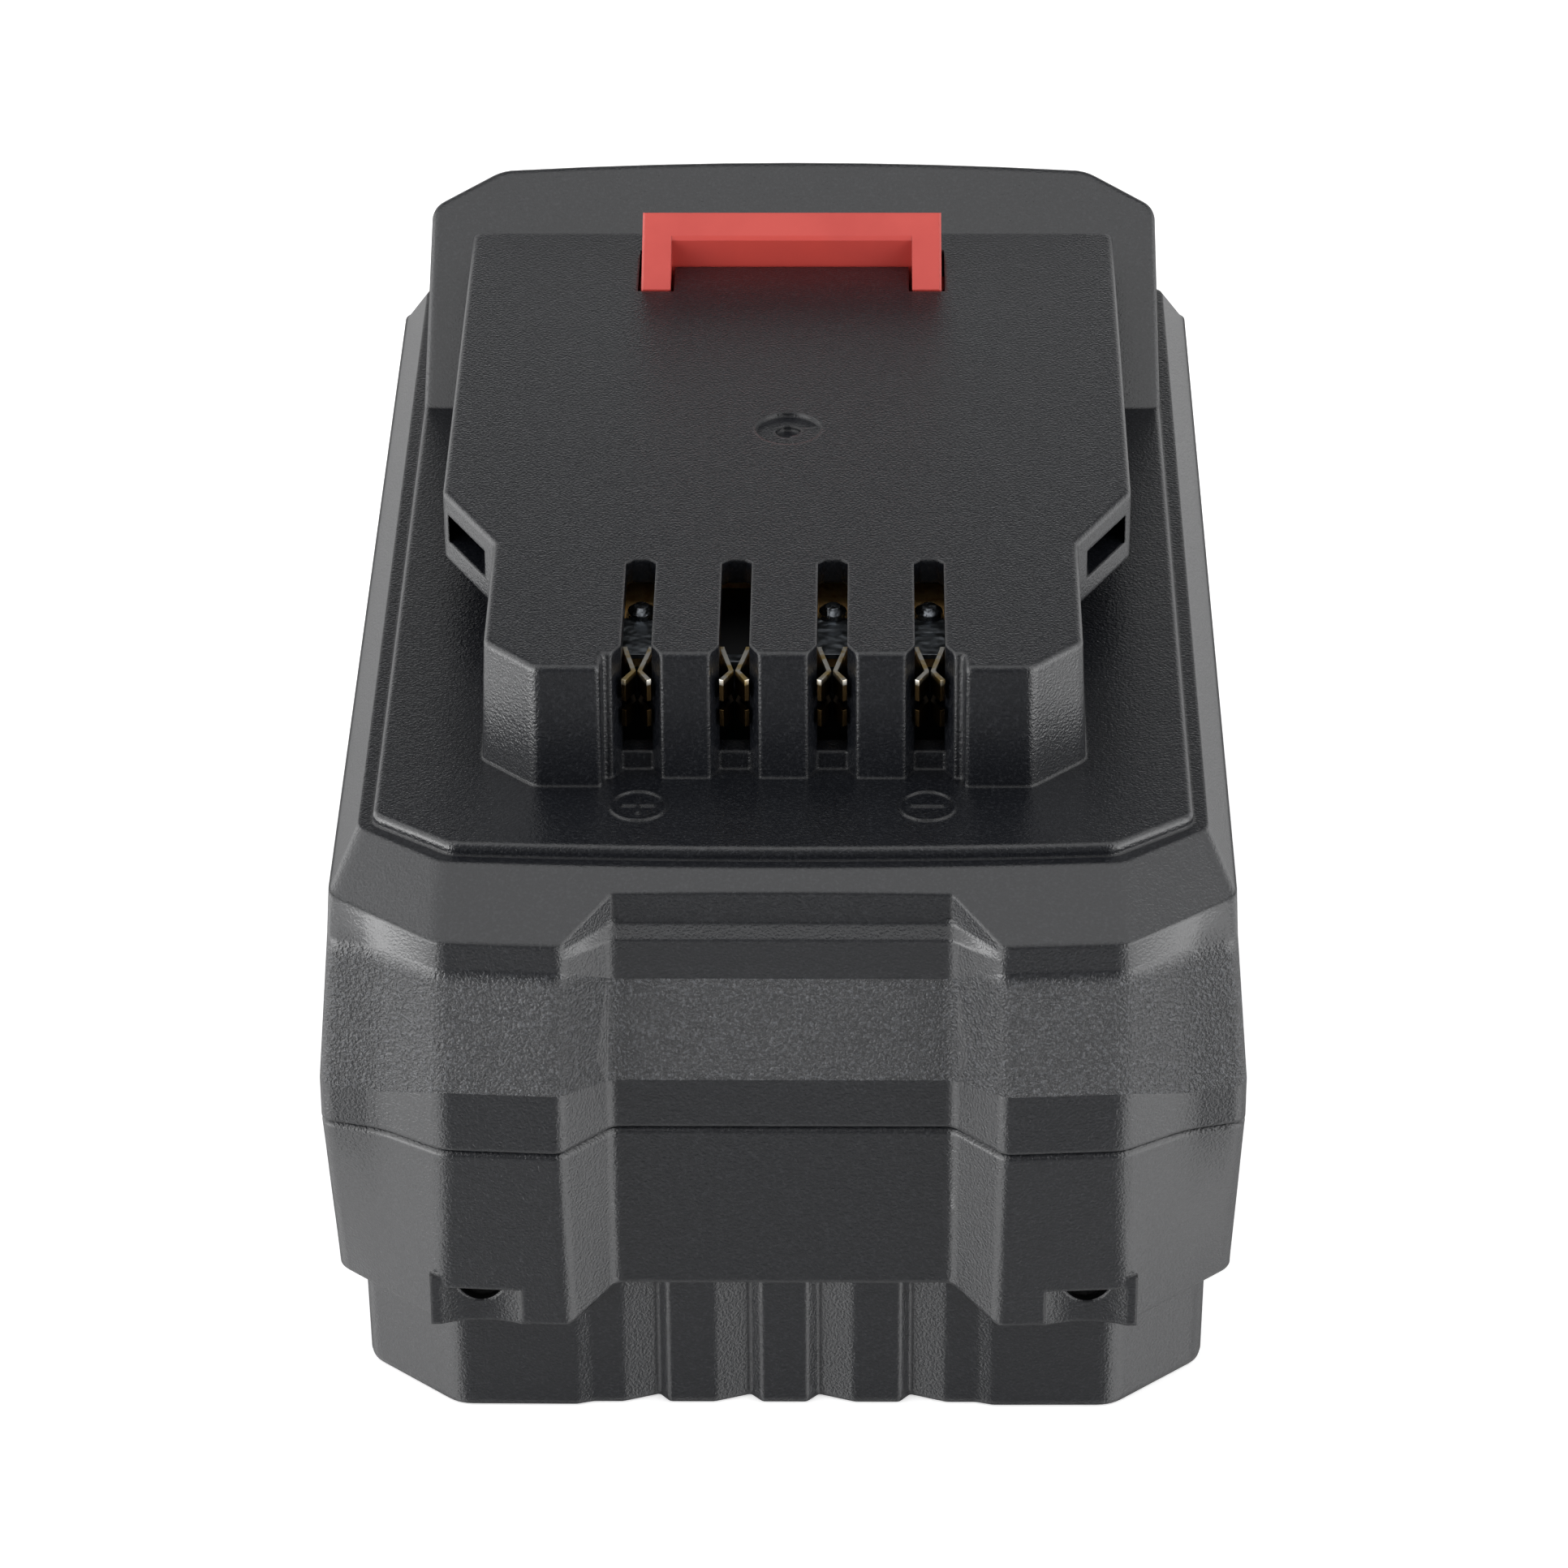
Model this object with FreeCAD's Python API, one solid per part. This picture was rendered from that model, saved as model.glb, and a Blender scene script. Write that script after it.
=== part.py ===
import FreeCAD, Part
import math
import os
from FreeCAD import Vector

# Slide-on battery pack for a cordless tool: ten round cells, five in series and two in parallel, in a
# two-part moulded housing with a rail plate, four spring contacts and a red release latch.
# Millimetres. X runs across the pack, Y from the contact end to the latch end, Z up from the feet.
# The origin is the bottom centre of the whole pack.

# ---------------------------------------------------------------- overall sizes
length = 118.0
width = 76.0

# ---------------------------------------------------------------- heights above the ground
skirt_z = 10.95           # lower edge of the wide skirt, above the narrower foot
parting_z = 28.55         # joint between the two housings
lower_crease_z = 32.15    # corners: upright band below, leaning band above
pillar_crease_z = 34.15   # the same crease on the pillars
recess_crease_z = 33.1    # the same crease in the middle recess
upper_crease_z = 45.45    # top of the leaning band
recess_band_z = 42.65     # top of the leaning band in the recess
ledge_low_z = 46.5        # sloping ledge in the recess
ledge_high_z = 47.4
shoulder_z = 47.9         # lower edge of the sloping shoulder
border_z = 51.4           # flat border around the raised deck
deck_z = 52.45            # raised deck
rail_gap = 4.9            # groove under the rail flange
flange_thickness = 6.2
latch_rise = 4.2          # how far the claw stands above the plate
flange_z = deck_z + rail_gap
plate_z = flange_z + flange_thickness
latch_top_z = plate_z + latch_rise

# ---------------------------------------------------------------- walls, gaps and edges
wall = 2.2
floor_thickness = 2.0
plate_wall = 2.2
parting_gap = 0.2         # groove between the housings
parting_chamfer = 0.4
lap_height = 1.5          # tongue of the lower housing inside the upper one
touch_gap = 0.3           # between the moving latch and what it passes
fit_gap = 0.3             # between held pieces and the housing
slope = math.tan(math.radians(28.6))   # shoulder, ledge, ramp and latch top share this slope

# ---------------------------------------------------------------- plan of the body, from its front and sides
# every corner is (distance in from the side or out from the middle, distance back from the end)
recess_floor_half = 13.9
recess_mouth_half = 18.1
recess_depth = 4.1
recess_upper_depth = 4.6
recess_top_depth = 5.45
ledge_depth = 4.35
pillar_edge_in = 10.2     # outer edge of a pillar, in from the side
pillar_edge_back = 0.6
facet_in = 5.0
facet_back = 3.7
side_back = 5.0
wall_lean = 1.1           # how far the leaning band carries the wall inwards
skirt_draft = 0.55        # how far the skirt tapers inwards to its lower edge
skirt_side_back = 9.1
skirt_facet_in = 4.9
skirt_facet_back = 5.3
skirt_pillar_in = 9.4
skirt_pillar_back = 1.25
skirt_recess_back = 4.1
shoulder_side_back = 9.0
shoulder_step = 0.12      # the slope starts this far inside the wall
border_side_in = 3.35
border_side_back = 13.7
border_pillar_in = 10.55
border_pillar_back = 8.3
pad_step = 1.2            # width of the flat border at the sides
pad_side_back = 14.1
pad_pillar_in = 11.1
pad_pillar_back = 9.4
front_bow = 0.85          # the front edges of shoulder and deck bow forward by this
pad_lip = 0.5

# ---------------------------------------------------------------- foot
underside_edge = 0.15     # flat rim under the skirt, before its underside slopes up to the foot
underside_reach = 5.2
foot_front_back = 4.25    # fluted face, back from the end
foot_side_in = 2.5
foot_side_back = 10.8
foot_corner_in = 10.5
foot_pillar_proud = 0.4   # pillars in front of the fluted face
foot_draft = 0.15
foot_edge = 0.6
flute_depth = 1.05
flute_wall = 1.5          # behind the flutes
flute_edges = ((1.9, 2.9, 5.9), (9.7, 10.6, 13.6))   # land edge, groove bottom, land edge
foot_land_end = 16.1
foot_pillar_start = 17.5

# ---------------------------------------------------------------- housing screws
screw_in = 12.9           # screw axis, in from the side
screw_back = 7.9          # and back from the end
screw_bore_radius = 3.1
screw_boss_radius = 4.0
screw_seat_z = 13.4
screw_shank_radius = 1.75
screw_pilot_radius = 1.45
screw_head_radius = 2.75
screw_head_height = 2.4
screw_length = 26.0
screw_drive_radius = 1.4
screw_drive_depth = 1.3
notch_half = 3.4
notch_height = 3.4
notch_depth = 1.2         # at its sides; its back is hollowed to a large radius
notch_hollow_radius = 9.0
notch_back_low = 0.4      # how far the notch's back wall reaches below the skirt's edge
notch_back_margin = 0.8
notch_window_radius = 2.1
notch_window_drop = 1.4   # lowest point of the window, below the notch's top

# ---------------------------------------------------------------- rail plate
plate_front_back = 18.8   # front faces of the plate, back from the front end
plate_corner_half = 20.3
plate_narrow_half = 24.5
plate_corner_depth = 4.25
plate_draft = 0.45
plate_wide_half = 29.3
plate_slant_start = 39.6  # where the slanted faces leave the narrow block, back from the front end
plate_slant_end = 48.4
plate_rear_back = 20.1    # rear edge of the plate, from the rear end
plate_edge = 0.45
contact_zone_back = 2.2
contact_zone_foot_back = 1.25
slot_pitch = 8.0
slot_width = 2.5
slot_rear = 36.6          # rear end of the slots, back from the front end
slot_sill = 1.6           # sill of the slots above the deck
tooth_chamfer = 0.8
tooth_chamfer_depth = 1.45
contact_zone_margin = 2.7 # beyond the middle of the outer slots
pocket_inner = 25.4
pocket_wall = 0.5
pocket_low = 1.75         # above the flange's underside
pocket_height = 2.65
pocket_length = 12.0
gate_radius = 2.85
gate_depth = 0.35
gate_back = 59.8
gate_dimple_radius = 1.1
gate_dimple_depth = 0.45
gate_step = 0.15          # the sector that stands higher
gate_step_angles = (-80, 18)
mark_radius = 2.4
mark_line = 0.32
mark_height = 0.12
mark_offset = 0.2         # inwards from the middle of the outer slots
mark_back = 15.4

# ---------------------------------------------------------------- hood
hood_start_rear = 33.6    # where the ramp leaves the deck, from the rear end
hood_ridge_rear = 9.4     # ridge at the middle, from the rear end
hood_corner_rear = 14.5
hood_corner_half = 27.0
hood_foot_rear = 5.0      # foot of the hood's rear face, from the rear end
hood_bow = 0.75
hood_edge = 0.7

# ---------------------------------------------------------------- latch
latch_travel = 4.5
latch_half = 13.55
latch_leg = 2.65
latch_tip_rear = 31.8     # tips of the claw's legs, from the rear end
latch_wall_rear = 26.9
latch_back_rear = 24.15
latch_web_z = 53.75
latch_web_thickness = 2.0
wing_half = 17.0
wing_thickness = 2.2
window_half = 13.0
window_low_z = 50.15
window_high_z = 61.25
button_skirt_rear = 7.7
button_skirt_thickness = 1.8
button_proud = 0.7
button_rib_height = 0.5
button_rib_count = 3

# ---------------------------------------------------------------- springs and their seat
spring_outer_radius = 2.7
spring_wire_radius = 0.32
spring_turns = 5.5
spring_half = 8.0
spring_rear = 17.0        # spring axes, from the rear end
seat_thickness = 2.0
seat_peg_radius = 1.7
seat_peg_height = 2.6
web_peg_height = 1.0
seat_half = 28.5
seat_front_reach = 3.4    # in front of the seat's screws
seat_back_rear = 12.5

# ---------------------------------------------------------------- cells
cell_radius = 9.175
cell_length = 65.0
cell_gap = 0.45
cell_columns = 5
cell_rows = 2
cell_clearance = 0.075
holder_wall = 1.2
holder_depth = 9.0
strip_thickness = 0.2
strip_half_height = 4.0
strip_end_overhang = 4.5
tab_half = 2.2
tab_reach = 5.5
tab_gap = 0.4             # between the last two tabs on the right
sheet_clearance = 0.1     # at the housing's side walls
sheet_thickness = 0.3
foam_thickness = 1.5

# ---------------------------------------------------------------- boards and contacts
post_height = 2.6
post_radius = 2.6
post_pilot_radius = 0.95
post_half_x = 26.0
board_half = 28.5
board_thickness = 1.6
board_front_back = 16.5
board_seat_gap = 0.8
board_screw_radius = 1.2
board_screw_head_radius = 2.2
board_screw_head_height = 1.4
board_screw_length = 4.6
block_margin = 4.0        # beyond the middle of the outer slots
block_front_back = 29.8
block_rear_back = 44.0
terminal_board_drop = 2.6 # its top below the plate's underside
terminal_board_front = 29.8
terminal_board_rear = 47.9
terminal_board_margin = 3.4
terminal_notch_half = 2.4
terminal_notch_rear = 43.0
chip_gap = 1.6            # between the controller's legs and the terminal block
chip_leg_half = 3.9
leaf_thickness = 0.4
leaf_height = 4.4
leaf_path = ((1.05, 21.0), (0.26, 22.5), (1.05, 26.1), (1.45, 29.4))   # out from the slot's middle, back
finger_slit = (2.0, 2.85) # slit between the two fingers of a leaf, below its top
finger_rear = 26.4
strap_half = 1.9
strap_thickness = 0.4
strap_front = 28.4
strap_rear = 34.4
tail_half = 0.9
solder_back = 35.0        # solder on the contact tails, back from the front end
bead_radius = 1.3         # thermistor
lead_radius = 0.3

# ---------------------------------------------------------------- places worked out from the sizes
front_y = -length / 2
rear_y = length / 2
side_x = width / 2
pillar_x = side_x - pillar_edge_in
screw_x = side_x - screw_in
screw_spots = [(sx * screw_x, sy * (rear_y - screw_back)) for sx in (-1, 1) for sy in (-1, 1)]
plate_rear_y = rear_y - plate_rear_back
pad_side_x = side_x - border_side_in - pad_step
slot_centres = [slot_pitch * (i - 1.5) for i in range(4)]
contact_zone_half = slot_centres[-1] + contact_zone_margin
mark_half_x = slot_centres[-1] - mark_offset
block_half = slot_centres[-1] + block_margin
terminal_board_half = slot_centres[-1] + terminal_board_margin
slot_floor_z = deck_z + slot_sill
foot_top_z = skirt_z + underside_reach * slope + 0.6
step_z = skirt_z + foot_front_back * slope + wall      # where the hollow widens from the foot to the skirt
notch_top_z = skirt_z + notch_height
cell_pitch = 2 * cell_radius + cell_gap
cell_end_x = cell_length / 2
holder_radius = cell_radius + cell_clearance
lower_axis_z = floor_thickness + holder_wall + holder_radius
axis_heights = [lower_axis_z + cell_pitch * row for row in range(cell_rows)]
column_ys = [cell_pitch * (i - (cell_columns - 1) / 2) for i in range(cell_columns)]
holder_top_z = axis_heights[-1] + holder_radius + holder_wall
holder_end_y = column_ys[-1] + holder_radius + holder_wall
board_z = holder_top_z + post_height
board_top_z = board_z + board_thickness
board_front_y = front_y + board_front_back
valley_ys = [(a + b) / 2 for a, b in zip(column_ys, column_ys[1:])]
post_ys = (valley_ys[0], valley_ys[2])
seat_screw_y = valley_ys[3]
seat_front_y = seat_screw_y - seat_front_reach
board_rear_y = seat_front_y - board_seat_gap
deck_under_z = deck_z - wall
plate_under_z = plate_z - plate_wall
leaf_top_z = plate_under_z - fit_gap
leaf_low_z = leaf_top_z - leaf_height
terminal_board_top_z = plate_under_z - terminal_board_drop
terminal_board_z = terminal_board_top_z - board_thickness
strap_top_z = terminal_board_top_z + strap_thickness
sheet_x = cell_end_x + strip_thickness
sheet_out_x = sheet_x + sheet_thickness
hood_ridge_z = deck_z + (hood_start_rear - hood_ridge_rear) * slope
hood_lean = (hood_ridge_rear - hood_foot_rear) / (hood_ridge_z - border_z)
rib_ys = (column_ys[1] + 0.4, 0.5, column_ys[3] + 11.1)
rib_half = 4.0
seat_top_z = holder_top_z + seat_thickness
tab_ys = (column_ys[0], valley_ys[1], valley_ys[3] - 10.3,
          column_ys[0] + 1.8, valley_ys[2] + 7.6, valley_ys[2] + 7.6 + 2 * tab_half + tab_gap)
strips = (("negative_strip", -1, 0, 0, tab_ys[0]),
          ("link_strip_2", -1, 1, 2, tab_ys[1]),
          ("link_strip_4", -1, 3, 4, tab_ys[2]),
          ("link_strip_1", 1, 0, 1, tab_ys[3]),
          ("link_strip_3", 1, 2, 3, tab_ys[4]),
          ("positive_strip", 1, 4, 4, tab_ys[5]))
tab_places = [(sign, tab_y) for _, sign, _, _, tab_y in strips]
lead_xs = (-0.9, 0.9)


# ---------------------------------------------------------------- shape helpers
def box(x0, x1, y0, y1, z0, z1):
    """Block between two corners."""
    return Part.makeBox(x1 - x0, y1 - y0, z1 - z0, Vector(x0, y0, z0))


def post(x, y, z0, z1, radius):
    """Upright round post."""
    return Part.makeCylinder(radius, z1 - z0, Vector(x, y, z0))


def both_sides(shape):
    """The shape and its mirror image across the middle plane X = 0."""
    return [shape, shape.mirror(Vector(0, 0, 0), Vector(1, 0, 0))]


def fuse(shapes):
    """One solid from shapes that meet."""
    return shapes[0].multiFuse(shapes[1:]).removeSplitter()


def ring(half):
    """Closed list of corners: the right half from front to rear, then its mirror image back."""
    right = [Vector(*corner) for corner in half]
    return right + [Vector(-corner.x, corner.y, corner.z) for corner in reversed(right)]


def sharp_wire(corners):
    """Closed wire with straight edges."""
    return Part.makePolygon(corners + [corners[0]])


def soft_wire(corners, cut_backs, front_out=Vector(), rear_out=Vector()):
    """Closed wire whose corners are quadratic curves that start a cut-back before each corner.

    The edges across the front and the rear are arcs where they stand out at their middle.
    """
    count = len(corners)
    bows = {count - 1: front_out, count // 2 - 1: rear_out}
    starts = []
    ends = []
    for i, corner in enumerate(corners):
        before = (corners[i - 1] - corner).normalize()
        after = (corners[(i + 1) % count] - corner).normalize()
        starts.append(corner + before * cut_backs[i])
        ends.append(corner + after * cut_backs[i])
    edges = []
    for i, corner in enumerate(corners):
        curve = Part.BezierCurve()
        curve.setPoles([starts[i], corner, ends[i]])
        edges.append(curve.toShape())
        head = starts[(i + 1) % count]
        bow = bows.get(i, Vector())
        if bow.Length > 0:
            middle = (ends[i] + head) * 0.5 + bow
            edges.append(Part.Arc(ends[i], middle, head).toShape())
        else:
            edges.append(Part.makeLine(ends[i], head))
    return Part.Wire(edges)


def ruled_solid(wires):
    """Solid with straight sides through a stack of matching wires."""
    return Part.makeLoft(wires, True, True)


def prism(corners, direction):
    """Solid made by carrying a flat polygon along a direction."""
    return Part.Face(sharp_wire(corners)).extrude(direction)


def edges_where(shape, test):
    """Edges whose ends and middle all pass a test on their points."""
    found = []
    for edge in shape.Edges:
        middle = edge.valueAt((edge.FirstParameter + edge.LastParameter) / 2)
        if test(middle) and all(test(vertex.Point) for vertex in edge.Vertexes):
            found.append(edge)
    return found


def inset(corners, distance):
    """Flat outline moved inwards by a distance; corners run anticlockwise seen from above."""
    count = len(corners)
    moved = []
    for i, corner in enumerate(corners):
        before = (corner - corners[i - 1]).normalize()
        after = (corners[(i + 1) % count] - corner).normalize()
        normal_before = Vector(-before.y, before.x, 0)
        normal_after = Vector(-after.y, after.x, 0)
        shift = (normal_before + normal_after) * (distance / (1.0 + normal_before.dot(normal_after)))
        moved.append(corner + shift)
    return moved


def at_height(corners, z):
    """The same outline at another height."""
    return [Vector(corner.x, corner.y, z) for corner in corners]


# ---------------------------------------------------------------- outlines of the body
def body_level(front, rear, heights):
    """Outline through five front corners and five rear ones, from the recess out to the side.

    front and rear give (x, distance back from that end); heights gives the five corners' heights.
    """
    half = [(x, front_y + back, z) for (x, back), z in zip(front, heights)]
    half += [(x, rear_y - back, z) for (x, back), z in reversed(list(zip(rear, heights)))]
    return ring(half)


def parting_plan(lean=0.0, floor_back=recess_depth):
    """Corners of the body at the joint, or leaning inwards by a distance."""
    return [(recess_floor_half - lean / 6, floor_back),
            (recess_mouth_half - lean / 4, lean),
            (pillar_x, pillar_edge_back + lean),
            (side_x - facet_in - lean / 4, facet_back + lean),
            (side_x - lean, side_back + lean)]


def shoulder_plan():
    """Front corners at the shoulder's lower edge, with the wide corner chamfer in one line."""
    corners = parting_plan(wall_lean, recess_top_depth)
    pillar, side = corners[2], (corners[4][0], shoulder_side_back)
    share = (corners[3][0] - pillar[0]) / (side[0] - pillar[0])
    corners[3] = (corners[3][0], pillar[1] + (side[1] - pillar[1]) * share)
    corners[4] = side
    return corners


def shoulder_rear_plan():
    """Rear corners at the shoulder's lower edge."""
    return parting_plan(wall_lean, hood_foot_rear)


def between(start, end, share, floor_back):
    """Corners part of the way from one plan to another, with the recess floor set by itself."""
    mixed = [(a[0] + (b[0] - a[0]) * share, a[1] + (b[1] - a[1]) * share) for a, b in zip(start, end)]
    mixed[0] = (mixed[0][0], floor_back)
    return mixed


def skirt_plan():
    """Corners at the skirt's lower edge."""
    return [(recess_floor_half, skirt_recess_back),
            (recess_mouth_half - skirt_draft / 2, skirt_draft),
            (side_x - skirt_pillar_in, skirt_pillar_back),
            (side_x - skirt_facet_in, skirt_facet_back),
            (side_x - skirt_draft, skirt_side_back)]


body_cut_backs = [0.7, 0.8, 0.9, 1.2, 1.1]
body_cuts = body_cut_backs + body_cut_backs[::-1]
body_cuts = body_cuts + body_cuts


def upper_levels():
    """Outlines of the upper housing's wall from the joint up to the shoulder."""
    joint = parting_plan()
    leaning = parting_plan(wall_lean, recess_upper_depth)
    shoulder = shoulder_plan()
    shoulder_rear = shoulder_rear_plan()
    rise = shoulder_z - upper_crease_z
    levels = [body_level(joint, joint, [parting_z] * 5)]
    creases = [recess_crease_z, pillar_crease_z, pillar_crease_z, lower_crease_z, lower_crease_z]
    levels.append(body_level(joint, joint, creases))
    creases = [recess_band_z] + [upper_crease_z] * 4
    levels.append(body_level(leaning, leaning, creases))
    for z, back in ((ledge_low_z, ledge_depth), (ledge_high_z, recess_top_depth)):
        share = (z - upper_crease_z) / rise
        front = between(leaning, shoulder, share, back)
        rear = between(leaning, shoulder_rear, share, back)
        levels.append(body_level(front, rear, [z] * 5))
    levels.append(body_level(shoulder, shoulder_rear, [shoulder_z] * 5))
    return levels


# ---------------------------------------------------------------- upper housing, outside
def recess_cutter(end_y, depth, z0, z1):
    """Wedge that carries the recess up through the shoulder at one end of the pack."""
    inwards = 1 if end_y < 0 else -1
    beyond = end_y - inwards * 6.0
    floor_half = recess_floor_half - wall_lean / 6
    spread = (recess_mouth_half - recess_floor_half) / (depth - wall_lean)
    mouth_half = floor_half + spread * (depth + 6.0)
    floor_y = end_y + inwards * depth
    corners = [Vector(floor_half, floor_y, z0), Vector(mouth_half, beyond, z0),
               Vector(-mouth_half, beyond, z0), Vector(-floor_half, floor_y, z0)]
    return prism(corners, Vector(0, 0, z1 - z0))


def shoulder_edges():
    """Right halves of the shoulder's lower and upper edges, from front to rear."""
    front, rear = shoulder_plan(), shoulder_rear_plan()
    low = [Vector(x, front_y + back, shoulder_z) for x, back in (front[2], front[4])]
    low += [Vector(x, rear_y - back, shoulder_z) for x, back in (rear[4], rear[3], rear[2])]
    moved = at_height(inset(ring(low), border_side_in - wall_lean), border_z)
    high = [Vector(side_x - border_pillar_in, front_y + border_pillar_back, border_z),
            Vector(side_x - border_side_in, front_y + border_side_back, border_z)]
    return low, high + moved[2:len(low)]


def shoulder_solid():
    """Sloping shoulder between the upright wall and the flat border."""
    cuts = [0.9, 1.1, 1.1, 1.2, 0.9]
    bow = Vector(0, -front_bow, 0)
    low, high = shoulder_edges()
    foot = at_height(inset(ring(low), shoulder_step), shoulder_z)
    outlines = [at_height(foot, shoulder_z - 1.0), foot, ring(high)]
    wires = [soft_wire(outline, cuts + cuts[::-1], bow, -bow) for outline in outlines]
    front_cut = recess_cutter(front_y, recess_top_depth, shoulder_z - 2.0, border_z)
    rear_cut = recess_cutter(rear_y, hood_foot_rear, shoulder_z - 2.0, border_z + 1.0)
    return ruled_solid(wires).cut(front_cut).cut(rear_cut)


def deck_pad():
    """Raised deck with a rounded lip, which runs back under the hood."""
    half = [(side_x - pad_pillar_in, front_y + pad_pillar_back, border_z - 1.0),
            (pad_side_x, front_y + pad_side_back, border_z - 1.0),
            (pad_side_x, rear_y - hood_corner_rear, border_z - 1.0),
            (hood_corner_half, rear_y - hood_ridge_rear - 2.0, border_z - 1.0)]
    base = Part.Face(soft_wire(ring(half), [0.8, 0.8, 0.8, 0.8] * 2, Vector(0, -front_bow * 0.9, 0)))
    pad = base.extrude(Vector(0, 0, deck_z - border_z + 1.0))
    rim = edges_where(pad, lambda p: abs(p.z - deck_z) < 1e-6)
    return pad.makeFillet(pad_lip, rim)


def hood_ring(drop, distance):
    """Outline of the hood in a plane parallel to the ramp and a drop below it, moved inwards."""
    start_y = rear_y - hood_start_rear
    low_z = deck_z - drop
    half = [(pad_side_x, start_y - 2.0, 0.0)]
    for x, back in ((pad_side_x, hood_corner_rear), (hood_corner_half, hood_ridge_rear + hood_bow)):
        base = rear_y - back + hood_lean * (hood_ridge_z - low_z + start_y * slope)
        half.append((x, base / (1.0 + hood_lean * slope), 0.0))
    corners = inset(ring(half), distance)
    return [Vector(c.x, c.y, low_z + (c.y - start_y) * slope) for c in corners]


def hood_loft(drops):
    """Loft through outlines at (drop below the ramp, distance inwards)."""
    cuts = [0.5, 1.2, 1.2]
    bow = Vector(0, hood_bow, hood_bow * slope)
    wires = [soft_wire(hood_ring(drop, move), cuts + cuts[::-1], Vector(), bow) for drop, move in drops]
    return ruled_solid(wires)


def hood_foot_drop(extra):
    """Drop of the tilted plane that meets the hood's rear foot at the border, less an extra height."""
    foot_y = rear_y - hood_foot_rear
    return deck_z + (foot_y - rear_y + hood_start_rear) * slope - border_z - extra


def hood_solid():
    """Inclined hood behind the plate: ramp on top, chamfered rear corners, leaning rear face."""
    drops = [(hood_foot_drop(-0.2), 0.0)]
    for angle in (0, 30, 60, 90):
        turn = math.radians(angle)
        drops.append((hood_edge * (1 - math.sin(turn)), hood_edge * (1 - math.cos(turn))))
    return hood_loft(drops)


def rounded_top(plan, cuts, z0, z1, radius):
    """Loft through plan(z) from z0 to z1 whose top rim is rounded in four steps."""
    wires = [soft_wire(ring(plan(z0)), cuts)]
    for angle in (0, 30, 60, 90):
        turn = math.radians(angle)
        z = z1 - radius * (1 - math.sin(turn))
        corners = inset(ring(plan(z)), radius * (1 - math.cos(turn)))
        wires.append(soft_wire(at_height(corners, z), cuts))
    return ruled_solid(wires)


def block_plan(z):
    """Half outline of the plate's narrow block; its faces lean in as they rise."""
    share = (plate_z - z) / (plate_z - border_z)
    front = front_y + plate_front_back - plate_draft * share
    step = contact_zone_back + (contact_zone_foot_back - contact_zone_back) * share
    side = plate_narrow_half + plate_draft * share
    return [(contact_zone_half, front + step, z),
            (contact_zone_half + 0.2, front, z),
            (plate_corner_half + plate_draft * share * 0.4, front, z),
            (side, front + plate_corner_depth, z),
            (side, plate_rear_y - 3.0, z)]


def flange_plan(z):
    """Half outline of the rail flange with its slanted front faces."""
    run = (plate_slant_end - plate_slant_start) / (plate_wide_half - plate_narrow_half)
    inner_half = plate_narrow_half - 4.0
    return [(inner_half, front_y + plate_slant_start - 4.0 * run, z),
            (plate_wide_half, front_y + plate_slant_end, z),
            (plate_wide_half, plate_rear_y, z)]


def plate_solid():
    """Rail plate: narrow block with the wide flange on it."""
    cuts = [0.3, 0.4, 0.6, 0.6, 0.6]
    block = rounded_top(block_plan, cuts + cuts[::-1], border_z, plate_z, plate_edge)
    cuts = [0.5, 0.5, 0.7]
    flange = rounded_top(flange_plan, cuts + cuts[::-1], flange_z, plate_z, plate_edge)
    return fuse([block, flange])


# ---------------------------------------------------------------- upper housing
def roof_outline(z):
    """Outline of the hollow at a height in the shoulder, with the body's ten corners a side."""
    low, high = shoulder_edges()
    share = (z - shoulder_z) / (border_z - shoulder_z)
    corners = [a + (b - a) * share for a, b in zip(low, high)]
    front_pillar, front_side, rear_side, rear_facet, rear_pillar = corners
    front = [Vector(x, front_pillar.y, z) for x in (recess_floor_half, recess_mouth_half)]
    front += [front_pillar, (front_pillar + front_side) * 0.5, front_side]
    front = [corner + Vector(0, wall, 0) for corner in front]
    rear = [rear_side, rear_facet, rear_pillar, Vector(recess_mouth_half, rear_pillar.y, z),
            Vector(recess_floor_half, rear_y - hood_foot_rear, z)]
    return at_height(inset(ring(front + rear), wall), z)


def body_cavity():
    """Hollow inside the upper housing's wall, up to the underside of the deck."""
    levels = upper_levels()
    crease = sharp_wire(at_height(inset(levels[2], wall), upper_crease_z))
    low = ruled_solid([sharp_wire(at_height(inset(levels[0], wall), parting_z - 1.0)), crease])
    roof = ruled_solid([crease, sharp_wire(roof_outline(deck_under_z))])
    return fuse([low, roof])


def hood_cavity():
    """Hollow under the ramp."""
    top_drop = wall * math.sqrt(1 + slope * slope)
    return hood_loft([(hood_foot_drop(0.0), wall), (top_drop, wall)])


def plate_cavity():
    """Hollow under the plate, open to the deck below."""
    front = front_y + plate_front_back + contact_zone_back + wall
    half = plate_narrow_half - wall
    return box(-half, half, front, plate_rear_y - wall, deck_under_z - 1.0, plate_under_z)


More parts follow.
